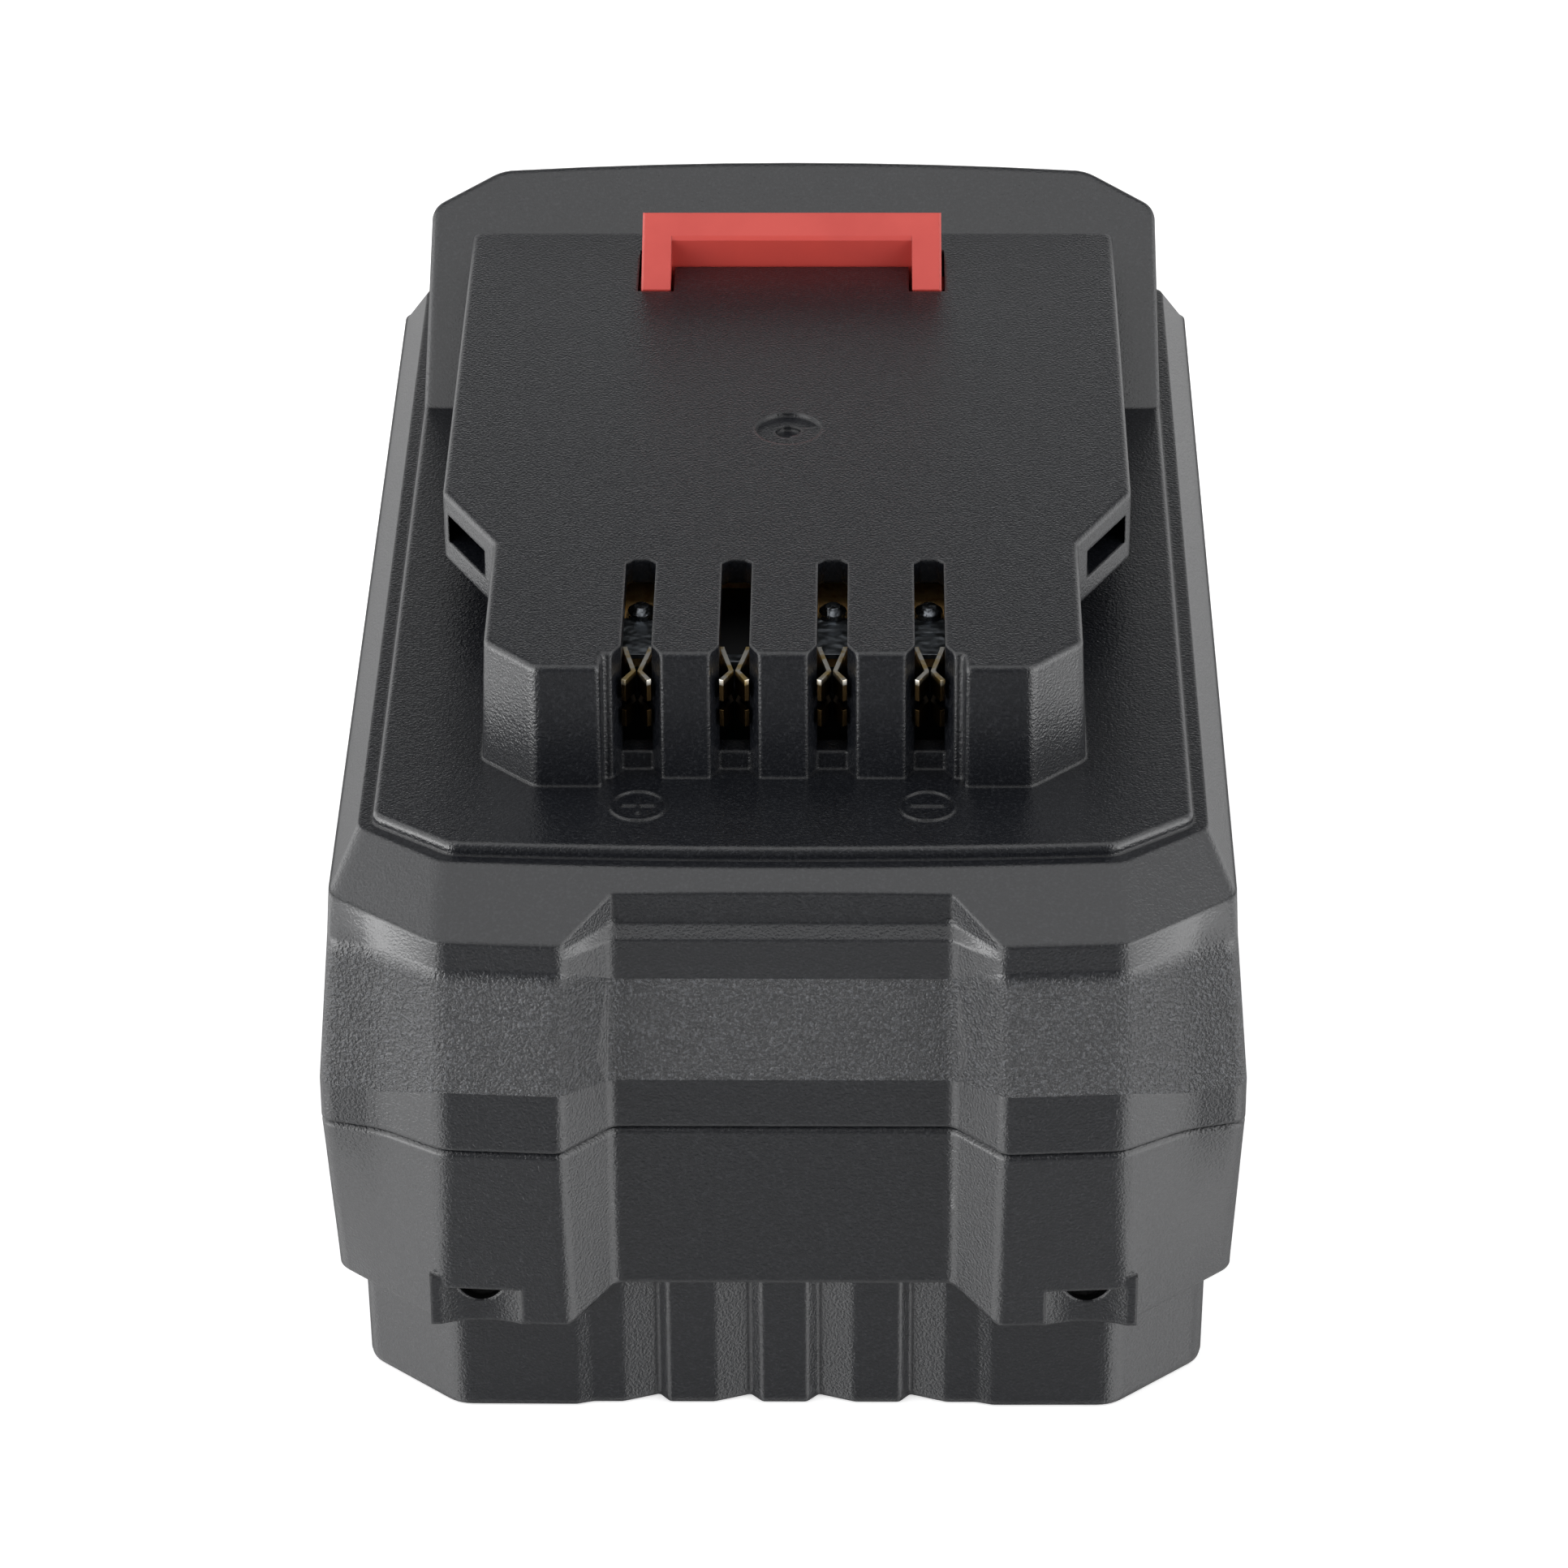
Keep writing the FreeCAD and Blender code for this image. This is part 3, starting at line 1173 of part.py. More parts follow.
def contact(x):
    """Terminal: a pair of leaves on a strap soldered to the terminal board, or on a tail before the block."""
    rear = front_y + leaf_path[-1][1]
    leaves = [leaf(x, -1), leaf(x, 1)]
    if x == slot_centres[1]:
        back = rear + leaf_thickness
        bar = box(x - strap_half, x + strap_half, rear - 0.8, back, leaf_low_z, strap_top_z - 0.8)
        tail = box(x - tail_half, x + tail_half, rear, back, board_top_z + 0.8, leaf_low_z + 0.5)
        return fuse(leaves + [bar, tail])
    y0, y1 = front_y + strap_front, front_y + strap_rear
    low = terminal_board_top_z
    strap = box(x - strap_half, x + strap_half, y0, y1, low, strap_top_z)
    tail = box(x - tail_half, x + tail_half, y1 - 0.5, front_y + solder_back + 0.8, low, strap_top_z)
    return fuse(leaves + [strap, tail])


def dome(x, y, z, radius, height):
    """Low blob of solder on a flat: a short cone with a cut-back upper rim."""
    blob = Part.makeCone(radius, radius * 0.85, height, Vector(x, y, z))
    return blob.makeChamfer(height * 0.5, edges_where(blob, lambda p: abs(p.z - z - height) < 1e-6))


def solder_joints():
    """Solder on the contact tails and on the tabs of the nickel strips."""
    blobs = [dome(x, front_y + solder_back, strap_top_z, 1.25, 0.9)
             for x in slot_centres if x != slot_centres[1]]
    for sign, tab_y in tab_places:
        x = sign * (board_half - tab_reach + 1.8)
        blobs.append(dome(x, tab_y, board_top_z + strip_thickness, 1.5, 0.8))
    return Part.makeCompound(blobs)


def power_transistors():
    """Four flat power transistors on the board."""
    bodies = []
    for x in (-9.0, 9.0):
        for y in (4.0, 15.5):
            body = box(x - 3.3, x + 3.3, y - 3.0, y + 3.0, board_top_z, board_top_z + 2.3)
            pad = box(x - 2.7, x + 2.7, y + 2.0, y + 4.6, board_top_z, board_top_z + 0.5)
            legs = [box(x + dx - 0.4, x + dx + 0.4, y - 4.8, y - 2.5, board_top_z, board_top_z + 0.5)
                    for dx in (-2.3, 2.3)]
            bodies.append(fuse([body, pad] + legs).Solids[0])
    return Part.makeCompound(bodies)


def controller_chip():
    """Protection controller with legs on two sides."""
    x, y = -(block_half + chip_gap + chip_leg_half), column_ys[1] - 0.2
    body = box(x - 2.7, x + 2.7, y - 4.2, y + 4.2, board_top_z + 0.1, board_top_z + 1.8)
    legs = []
    for i in range(8):
        leg_y = y - 3.5 + i
        legs.append(box(x - chip_leg_half, x + chip_leg_half, leg_y - 0.2, leg_y + 0.2,
                        board_top_z, board_top_z + 0.5))
    return fuse([body] + legs)


def shunt_resistor():
    """Current-sensing resistor."""
    return fuse([box(-3.2, 3.2, 20.0, 23.0, board_top_z, board_top_z + 0.8),
                 box(-2.0, 2.0, 20.2, 22.8, board_top_z, board_top_z + 1.1)])


def capacitor():
    """Small upright electrolytic capacitor under the plate."""
    x, y = 17.5, 2.0
    can = post(x, y, board_top_z, board_top_z + 7.7, 3.15)
    top = edges_where(can, lambda p: abs(p.z - board_top_z - 7.7) < 1e-6)
    return can.makeFillet(0.5, top)


def thermistor():
    """Bead in the valley between two cells, with its two leads up to the board."""
    reach = cell_pitch / 2
    span = cell_radius + bead_radius + 0.05
    z = axis_heights[-1] + math.sqrt(span * span - reach * reach)
    y = valley_ys[1]
    bead = Part.makeCylinder(bead_radius, 4.0, Vector(-2.0, y, z), Vector(1, 0, 0))
    leads = [post(x, y, z, board_top_z + 0.6, lead_radius) for x in lead_xs]
    return fuse([bead] + leads)


# ---------------------------------------------------------------- write every node
def write(name, shape):
    """Save one node as a STEP file."""
    shape.exportStep("parts/" + name + ".step")


def main():
    """Build each piece and save it under its own name."""
    os.makedirs("parts", exist_ok=True)
    write("lower_housing", lower_housing())
    write("upper_housing", upper_housing())
    write("latch", latch())
    write("latch_spring_left", latch_spring(-spring_half))
    write("latch_spring_right", latch_spring(spring_half))
    write("spring_seat", spring_seat())
    for row in range(cell_rows):
        for column in range(cell_columns):
            write("cell_%d" % (row * cell_columns + column + 1), cell(row, column))
    write("cell_holder_left", cell_holder(-1))
    write("cell_holder_right", cell_holder(1))
    for name, sign, first, last, tab_y in strips:
        write(name, nickel_strip(sign, first, last, tab_y))
    write("insulating_sheet_left", insulating_sheet(-1))
    write("insulating_sheet_right", insulating_sheet(1))
    write("top_foam", top_foam())
    write("end_foam", end_foam())
    write("main_board", main_board())
    write("board_screws", board_screws())
    write("housing_screws", housing_screws())
    write("terminal_block", terminal_block())
    write("terminal_board", terminal_board())
    for i, x in enumerate(slot_centres):
        write("contact_%d" % (i + 1), contact(x))
    write("solder_joints", solder_joints())
    write("power_transistors", power_transistors())
    write("controller_chip", controller_chip())
    write("shunt_resistor", shunt_resistor())
    write("capacitor", capacitor())
    write("thermistor", thermistor())


if __name__ == "__main__":
    main()
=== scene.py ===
"""Looks of a slide-on battery pack for cordless tools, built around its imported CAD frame."""
import logging
import math
from dataclasses import dataclass, field
from enum import Enum

import bpy
import numpy as np
from mathutils import Matrix, Vector

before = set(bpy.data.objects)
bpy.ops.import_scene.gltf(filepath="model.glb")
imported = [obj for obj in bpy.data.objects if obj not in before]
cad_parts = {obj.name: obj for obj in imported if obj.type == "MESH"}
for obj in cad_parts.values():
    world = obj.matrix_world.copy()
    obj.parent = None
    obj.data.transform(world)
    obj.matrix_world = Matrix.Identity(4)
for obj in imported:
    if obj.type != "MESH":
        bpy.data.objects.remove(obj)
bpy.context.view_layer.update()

LOG = logging.getLogger("battery_pack")
MM = 0.001


class Body(Enum):
    """The two bodies of the pack's mechanism."""

    PACK = "pack"
    LATCH = "latch"


# ---------------------------------------------------------------- small tools
def linear(colour: str) -> tuple[float, float, float, float]:
    """Turn an sRGB hex colour into linear light.

    Args:
        colour: six hex digits after a hash.

    Returns:
        Red, green, blue and an alpha of one.
    """
    parts = np.array([int(colour[i:i + 2], 16) for i in (1, 3, 5)]) / 255.0
    light = np.where(parts <= 0.04045, parts / 12.92, ((parts + 0.055) / 1.055) ** 2.4)
    return (float(light[0]), float(light[1]), float(light[2]), 1.0)


def add_node(tree: bpy.types.NodeTree, kind: str, inputs: dict | None = None,
             **settings: object) -> bpy.types.Node:
    """Add a node with its settings, values and links.

    Args:
        tree: the node tree that gets it.
        kind: Blender's name of the node type.
        inputs: a value or another node's output socket for each named or numbered input.
        settings: the node's own properties.

    Returns:
        The new node.
    """
    node = tree.nodes.new(kind)
    for name, value in settings.items():
        setattr(node, name, value)
    for key, value in (inputs or {}).items():
        if isinstance(value, bpy.types.NodeSocket):
            tree.links.new(value, node.inputs[key])
        else:
            node.inputs[key].default_value = value
    return node


def new_material(name: str) -> tuple[bpy.types.Material, bpy.types.NodeTree]:
    """Make an empty node material.

    Args:
        name: what the real material is.

    Returns:
        The material and its node tree.
    """
    material = bpy.data.materials.new(name)
    material.use_nodes = True
    material.node_tree.nodes.clear()
    return material, material.node_tree


def noise(tree: bpy.types.NodeTree, place: bpy.types.NodeSocket, size_mm: float, detail: float,
          roughness: float = 0.6) -> bpy.types.NodeSocket:
    """Add a cloud pattern whose blobs have a real size.

    Args:
        tree: the material's node tree.
        place: the coordinates it reads.
        size_mm: width of its largest blobs.
        detail: how many finer layers it has.
        roughness: how strong the finer layers are.

    Returns:
        The pattern, from zero to one.
    """
    cloud = add_node(tree, "ShaderNodeTexNoise", {"Vector": place, "Scale": 1000 / size_mm, "Detail": detail,
                                                  "Roughness": roughness})
    return cloud.outputs["Fac"]


def arithmetic(tree: bpy.types.NodeTree, operation: str, first: object,
               second: object) -> bpy.types.NodeSocket:
    """Combine two values or sockets.

    Args:
        tree: the material's node tree.
        operation: Blender's name of the operation.
        first: a number or a socket.
        second: a number or a socket.

    Returns:
        The result's socket.
    """
    return add_node(tree, "ShaderNodeMath", {0: first, 1: second}, operation=operation).outputs[0]


def ramp(tree: bpy.types.NodeTree, value: bpy.types.NodeSocket, span: tuple[float, float],
         result: tuple[float, float]) -> bpy.types.NodeSocket:
    """Stretch a value from one span to another and hold it at the ends.

    Args:
        tree: the material's node tree.
        value: what is stretched.
        span: its lower and upper ends.
        result: what the ends become.

    Returns:
        The stretched value.
    """
    node = add_node(tree, "ShaderNodeMapRange", {0: value, 1: span[0], 2: span[1],
                                                 3: result[0], 4: result[1]})
    return node.outputs[0]


def blend_colours(tree: bpy.types.NodeTree, share: bpy.types.NodeSocket, first: str,
                  second: str) -> bpy.types.NodeSocket:
    """Mix two colours by a pattern.

    Args:
        tree: the material's node tree.
        share: zero for the first colour, one for the second.
        first: sRGB hex colour.
        second: sRGB hex colour.

    Returns:
        The mixed colour.
    """
    node = add_node(tree, "ShaderNodeMix", {0: share, 6: linear(first), 7: linear(second)}, data_type="RGBA")
    return node.outputs[2]


# ---------------------------------------------------------------- finishes
@dataclass(frozen=True)
class MouldedNylon:
    """Glass-filled nylon moulded in a spark-eroded tool.

    It gives a dry, near-black skin with pale specks painted into its colour, partly glass fibre, partly
    painted glints for the grain's sparkle, with a finer grain on upright and level faces and a coarser,
    deeper one on the bands that lean inwards, where the painted glints are thickest.
    """

    name: str = "Nylon_glass_filled_spark_eroded"
    colour: str = "#0c0e13"
    # painted glint colour: pale specks that stand for the sparkle of the grain, with some real glass fibre
    painted_glint: str = "#46484c"
    painted_glint_span: tuple[float, float] = (0.50, 0.68)
    fine_painted_glints: float = 0.20
    roughness: float = 0.28
    ior: float = 1.7
    grain_mm: float = 0.22
    grain_height_mm: float = 0.05
    coarse_mm: float = 0.27
    coarse_height_mm: float = 0.26
    coarse_roughness: float = 0.42
    coarse_low_mm: float = 30.75
    coarse_high_mm: float = 45.5
    coarse_fade_mm: float = 1.5
    coarse_lean: float = 0.03
    edge_mm: float = 0.40

    def build(self) -> bpy.types.Material:
        """Make the material: two grains, chosen by where the wall leans, over softened edges."""
        material, tree = new_material(self.name)
        place = add_node(tree, "ShaderNodeTexCoord").outputs["Object"]
        fine = arithmetic(tree, "MULTIPLY", noise(tree, place, self.grain_mm, 1.5), self.grain_height_mm)
        coarse = arithmetic(tree, "MULTIPLY", noise(tree, place, self.coarse_mm, 2.0), self.coarse_height_mm)
        leaning = self.leaning_mask(tree, place)
        height = add_node(tree, "ShaderNodeMix", {0: leaning, 2: fine, 3: coarse},
                          data_type="FLOAT").outputs[0]
        # painted glints: pale specks in the base colour, thickest on the leaning band, stand in for the
        # sparkle of its grain under the overhead light
        painted_glints = self.painted_glints(tree, place, leaning)
        polish = ramp(tree, leaning, (0.0, 1.0), (self.roughness, self.coarse_roughness))
        edge = add_node(tree, "ShaderNodeBevel", {"Radius": self.edge_mm * MM}, samples=4)
        bump = add_node(tree, "ShaderNodeBump", {"Strength": 1.0, "Distance": MM, "Height": height,
                                                 "Normal": edge.outputs[0]})
        surface = add_node(tree, "ShaderNodeBsdfPrincipled", {
            "Base Color": blend_colours(tree, painted_glints, self.colour, self.painted_glint), "Roughness": polish,
            "IOR": self.ior,
            "Normal": bump.outputs[0]})
        add_node(tree, "ShaderNodeOutputMaterial", {"Surface": surface.outputs[0]})
        return material

    def painted_glints(self, tree: bpy.types.NodeTree, place: bpy.types.NodeSocket,
               leaning: bpy.types.NodeSocket) -> bpy.types.NodeSocket:
        """Scatter pale specks in the base colour: a few glass fibres at the skin, mostly painted glints for
        the grain's sparkle, thickest on the coarse band that leans up into the overhead light.

        Args:
            tree: the material's node tree.
            place: the object coordinates.
            leaning: the mask of the coarse grain.

        Returns:
            The share of the painted glint colour.
        """
        specks = ramp(tree, noise(tree, place, self.coarse_mm, 3.0), self.painted_glint_span, (0.0, 1.0))
        return arithmetic(tree, "MULTIPLY", specks, ramp(tree, leaning, (0.0, 1.0), (self.fine_painted_glints, 1.0)))

    def leaning_mask(self, tree: bpy.types.NodeTree, place: bpy.types.NodeSocket) -> bpy.types.NodeSocket:
        """Find the band of wall that leans inwards.

        Args:
            tree: the material's node tree.
            place: the object coordinates.

        Returns:
            A socket that is one on the band and zero elsewhere.
        """
        height = add_node(tree, "ShaderNodeSeparateXYZ", {0: place}).outputs[2]
        facing = add_node(tree, "ShaderNodeNewGeometry").outputs["True Normal"]
        rise = add_node(tree, "ShaderNodeSeparateXYZ", {0: facing}).outputs[2]
        lean = arithmetic(tree, "GREATER_THAN", rise, self.coarse_lean)
        low, high, fade = self.coarse_low_mm * MM, self.coarse_high_mm * MM, self.coarse_fade_mm * MM
        above = ramp(tree, height, (low, low + fade), (0.0, 1.0))
        below = ramp(tree, height, (high - fade, high), (1.0, 0.0))
        return arithmetic(tree, "MULTIPLY", arithmetic(tree, "MULTIPLY", above, below), lean)


@dataclass(frozen=True)
class Skin:
    """A plain finish: a colour that drifts into a second, a grain, and a polish that follows the drift."""

    name: str
    colour: str
    drift_colour: str = ""
    drift_mm: float = 3.0
    roughness: float = 0.4
    roughness_spread: float = 0.15
    metallic: float = 0.0
    ior: float = 1.5
    grain_mm: float = 0.3
    grain_height_mm: float = 0.005
    grain_stretch: tuple[float, float, float] = (1.0, 1.0, 1.0)
    edge_mm: float = 0.15

    def build(self) -> bpy.types.Material:
        """Make the material."""
        material, tree = new_material(self.name)
        place = add_node(tree, "ShaderNodeTexCoord").outputs["Object"]
        drift = ramp(tree, noise(tree, place, self.drift_mm, 3.0), (0.35, 0.65), (0.0, 1.0))
        colour = blend_colours(tree, drift, self.colour, self.drift_colour or self.colour)
        spread = self.roughness * self.roughness_spread
        polish = ramp(tree, drift, (0.0, 1.0), (self.roughness - spread, self.roughness + spread))
        along = add_node(tree, "ShaderNodeMapping", {"Vector": place, "Scale": self.grain_stretch}).outputs[0]
        grain = noise(tree, along, self.grain_mm, 2.0)
        edge = add_node(tree, "ShaderNodeBevel", {"Radius": self.edge_mm * MM}, samples=4)
        bump = add_node(tree, "ShaderNodeBump", {"Strength": 1.0, "Distance": self.grain_height_mm * MM,
                                                 "Height": grain, "Normal": edge.outputs[0]})
        surface = add_node(tree, "ShaderNodeBsdfPrincipled", {
            "Base Color": colour, "Roughness": polish, "Metallic": self.metallic, "IOR": self.ior,
            "Normal": bump.outputs[0]})
        add_node(tree, "ShaderNodeOutputMaterial", {"Surface": surface.outputs[0]})
        return material


@dataclass(frozen=True)
class SpringContact:
    """Phosphor bronze under thin tin.

    It gives bright plated top edges, brassy patches where the tin is thin, a painted shade in dark brown on
    the faces below the top edges, and grey wrinkled solder on the strap behind.
    """

    name: str = "Phosphor_bronze_tinned"
    bright: str = "#f4f0e6"
    brassy: str = "#d9bd7c"
    # painted shade: the dark brown put on the leaf faces below the top edges, where the slot is in shade
    painted_shade: str = "#3a2d1a"
    wetted: str = "#8f959b"
    patch_mm: float = 1.6
    unshaded_low_mm: float = 60.5
    unshaded_high_mm: float = 60.9
    wetted_from_mm: float = -31.0
    ripple_mm: float = 1.3
    ripple_height_mm: float = 0.25
    roughness: float = 0.3
    edge_mm: float = 0.08

    def build(self) -> bpy.types.Material:
        """Make the material: plated top edges, painted shade below them, and wetted zones by height and
        depth.
        """
        material, tree = new_material(self.name)
        place = add_node(tree, "ShaderNodeTexCoord").outputs["Object"]
        parts = add_node(tree, "ShaderNodeSeparateXYZ", {0: place}).outputs
        patches = ramp(tree, noise(tree, place, self.patch_mm, 2.0), (0.45, 0.62), (0.0, 1.0))
        # painted shade: under the top 0.4 mm of the leaf the colour fades to dark brown for the shade deep in
        # the slot; only the top edges keep the plating
        unshaded = ramp(tree, parts[2], (self.unshaded_low_mm * MM, self.unshaded_high_mm * MM), (0.0, 1.0))
        wetted = arithmetic(tree, "GREATER_THAN", parts[1], self.wetted_from_mm * MM)
        plated = blend_colours(tree, patches, self.bright, self.brassy)
        plated_over_painted_shade = add_node(tree, "ShaderNodeMix", {0: unshaded, 6: linear(self.painted_shade), 7: plated},
                        data_type="RGBA")
        colour = add_node(tree, "ShaderNodeMix", {0: wetted, 6: plated_over_painted_shade.outputs[2], 7: linear(self.wetted)},
                          data_type="RGBA")
        ripple = arithmetic(tree, "MULTIPLY", noise(tree, place, self.ripple_mm, 1.0), wetted)
        edge = add_node(tree, "ShaderNodeBevel", {"Radius": self.edge_mm * MM}, samples=6)
        bump = add_node(tree, "ShaderNodeBump", {"Strength": 1.0, "Distance": self.ripple_height_mm * MM,
                                                 "Height": ripple, "Normal": edge.outputs[0]})
        surface = add_node(tree, "ShaderNodeBsdfPrincipled", {
            "Base Color": colour.outputs[2], "Roughness": self.roughness, "Metallic": 1.0,
            "Normal": bump.outputs[0]})
        add_node(tree, "ShaderNodeOutputMaterial", {"Surface": surface.outputs[0]})
        return material


# Acetal: a clean saturated red with a silky gloss and hardly any grain.
ACETAL = Skin("Acetal_red_moulded", "#be443c", "#b73f38", 6.0, 0.42, grain_mm=0.5, grain_height_mm=0.003)
# Plain nylon: a slightly duller black than the outside, straight from a machined tool.
PLAIN_NYLON = Skin("Nylon_black_moulded", "#161617", "#1b1b1d", 4.0, 0.5, grain_mm=0.4, grain_height_mm=0.006)
# Flame-retardant ABS blend: dark grey-black with a waxy sheen.
HOLDER_BLEND = Skin("ABS_PC_flame_retardant", "#1d1e20", "#232427", 5.0, 0.45, grain_mm=0.4,
                    grain_height_mm=0.006)
# Phenolic paper laminate: amber brown with paper fibres under a dull gloss, its colours painted far paler as
# painted light for the light that reaches the board through the slots.
PHENOLIC_PAINTED_LIGHT = Skin("Phenolic_laminate_painted_light", "#ffd490", "#e0a658", 1.2, 0.3, grain_mm=1.1,
                grain_height_mm=0.05, grain_stretch=(1.0, 0.5, 1.0))
# Solder: bright tin alloy, frozen with faint wrinkles.
SOLDER = Skin("Solder_tin_alloy", "#85898e", "#5f6368", 0.8, 0.32, 0.3, 1.0, grain_mm=0.9,
              grain_height_mm=0.18)
# Spring steel wire: drawn, so its faint lines run along it, with a dry oil film.
SPRING_STEEL = Skin("Spring_steel_drawn", "#b9babd", "#8f9196", 0.6, 0.28, 0.25, 1.0, grain_mm=0.15,
                    grain_height_mm=0.002, edge_mm=0.02)
# Nickel strip: rolled, a warm grey with long shallow rolling lines.
NICKEL = Skin("Nickel_strip_rolled", "#cfccc4", "#bdb9ae", 3.0, 0.26, 0.3, 1.0, grain_mm=0.25,
              grain_height_mm=0.003, grain_stretch=(1.0, 1.0, 0.08), edge_mm=0.05)
# Zinc plate: bright, faintly blue, with a cloudy passivation.
ZINC = Skin("Steel_zinc_plated", "#cdd0d4", "#b3b9c2", 0.9, 0.25, 0.3, 1.0, grain_mm=0.2,
            grain_height_mm=0.002)
# Black oxide: near-black steel that still flashes on its rim.
BLACK_OXIDE = Skin("Steel_black_oxide", "#4a4a4c", "#39393b", 0.9, 0.3, 0.3, 1.0, grain_mm=0.25,
                   grain_height_mm=0.004, edge_mm=0.12)
# Aluminium can: drawn, clean and a little satin.
CAN = Skin("Aluminium_can_drawn", "#c6c8cc", "#b4b6ba", 1.5, 0.3, 0.2, 1.0, grain_mm=0.2,
           grain_height_mm=0.002)
# Moulded epoxy: soot black, with the faint frost of a matt tool.
EPOXY = Skin("Epoxy_moulded_matt", "#17181a", "#1e1f21", 0.8, 0.48, grain_mm=0.12, grain_height_mm=0.004)
# Shrunk sleeve: a deep blue-green film, glossy, pulled tight with a few long creases.
SLEEVE = Skin("PVC_sleeve_heat_shrunk", "#14606f", "#0f5666", 8.0, 0.22, 0.3, grain_mm=2.5,
              grain_height_mm=0.05, grain_stretch=(0.15, 1.0, 1.0), edge_mm=0.3)
# Vulcanised fibre: pressed grey-green paper, soft and slightly furry.
FIBRE = Skin("Vulcanised_fibre_sheet", "#8d8a78", "#7f7c6b", 1.5, 0.75, 0.1, grain_mm=0.3,
             grain_height_mm=0.02)
# Closed-cell foam: charcoal and matt, with small cut cells.
FOAM = Skin("EVA_foam_closed_cell", "#2a2a2b", "#343436", 1.0, 0.9, 0.05, grain_mm=0.5, grain_height_mm=0.12)
# Solder mask on glass laminate: deep green gloss over a faint weave.
MASK = Skin("Glass_laminate_solder_mask", "#0d5a33", "#0a4b2a", 2.5, 0.28, 0.2, grain_mm=0.6,
            grain_height_mm=0.006)


# ---------------------------------------------------------------- sub-assemblies
@dataclass
class SubAssembly:
    """A group of pieces with their finishes.

    A finish is named with the CAD nodes that carry it.
    """

    title: str
    body: Body
    finishes: dict[object, tuple[str, ...]] = field(default_factory=dict)

    def build(self) -> None:
        """Make what the CAD nodes lack. Most groups lack nothing."""

    def dress(self) -> None:
        """Give every node of the group its finish and report it."""
        for finish, names in self.finishes.items():
            material = finish.build()
            for name in names:
                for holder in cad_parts[name].material_slots:
                    holder.material = material
                LOG.info("%s: %s in %s, on body %s", self.title, name, finish.name, self.body.value)


def numbered(stem: str, count: int) -> tuple[str, ...]:
    """Name the members of a row.

    Args:
        stem: what they share.
        count: how many there are.

    Returns:
        The names, counted from one.
    """
    return tuple(f"{stem}_{i + 1}" for i in range(count))


def sub_assemblies() -> list[SubAssembly]:
    """List the groups of the pack from the outside in."""
    pack = Body.PACK
    return [
        SubAssembly("housing", pack, {MouldedNylon(): ("lower_housing", "upper_housing")}),
        SubAssembly("latch", Body.LATCH, {ACETAL: ("latch",)}),
        SubAssembly("latch seat", pack, {SPRING_STEEL: ("latch_spring_left", "latch_spring_right"),
                                         PLAIN_NYLON: ("spring_seat",)}),
        SubAssembly("terminals", pack, {SpringContact(): numbered("contact", 4),
                                        PHENOLIC_PAINTED_LIGHT: ("terminal_board",),
                                        SOLDER: ("solder_joints",),
                                        HOLDER_BLEND: ("terminal_block",)}),
        SubAssembly("cells", pack, {SLEEVE: numbered("cell", 10),
                                    HOLDER_BLEND: ("cell_holder_left", "cell_holder_right"),
                                    NICKEL: ("negative_strip", "positive_strip") + numbered("link_strip", 4),
                                    FIBRE: ("insulating_sheet_left", "insulating_sheet_right"),
                                    FOAM: ("top_foam", "end_foam")}),
        SubAssembly("electronics", pack, {MASK: ("main_board",), CAN: ("capacitor",),
                                          EPOXY: ("power_transistors", "controller_chip", "shunt_resistor",
                                                  "thermistor")}),
        SubAssembly("fasteners", pack, {ZINC: ("board_screws",), BLACK_OXIDE: ("housing_screws",)}),
    ]


# ---------------------------------------------------------------- studio
@dataclass(frozen=True)
class Softbox:
    """One rectangular soft light that faces the pack."""

    name: str
    place: tuple[float, float, float]
    size: tuple[float, float]
    watts: float
    target: tuple[float, float, float] = (0.0, 0.0, 0.04)

    def build(self) -> None:
        """Hang the lamp at its place, turned to its target."""
        light = bpy.data.lights.new(self.name, "AREA")
        light.shape = "RECTANGLE"
        light.size, light.size_y = self.size
        light.energy = self.watts
        holder = bpy.data.objects.new(self.name, light)
        holder.visible_camera = False
        away = Vector(self.place) - Vector(self.target)
        turned = away.to_track_quat("Z", "Y").to_matrix().to_4x4()
        holder.matrix_world = Matrix.Translation(Vector(self.place)) @ turned
        bpy.context.scene.collection.objects.link(holder)


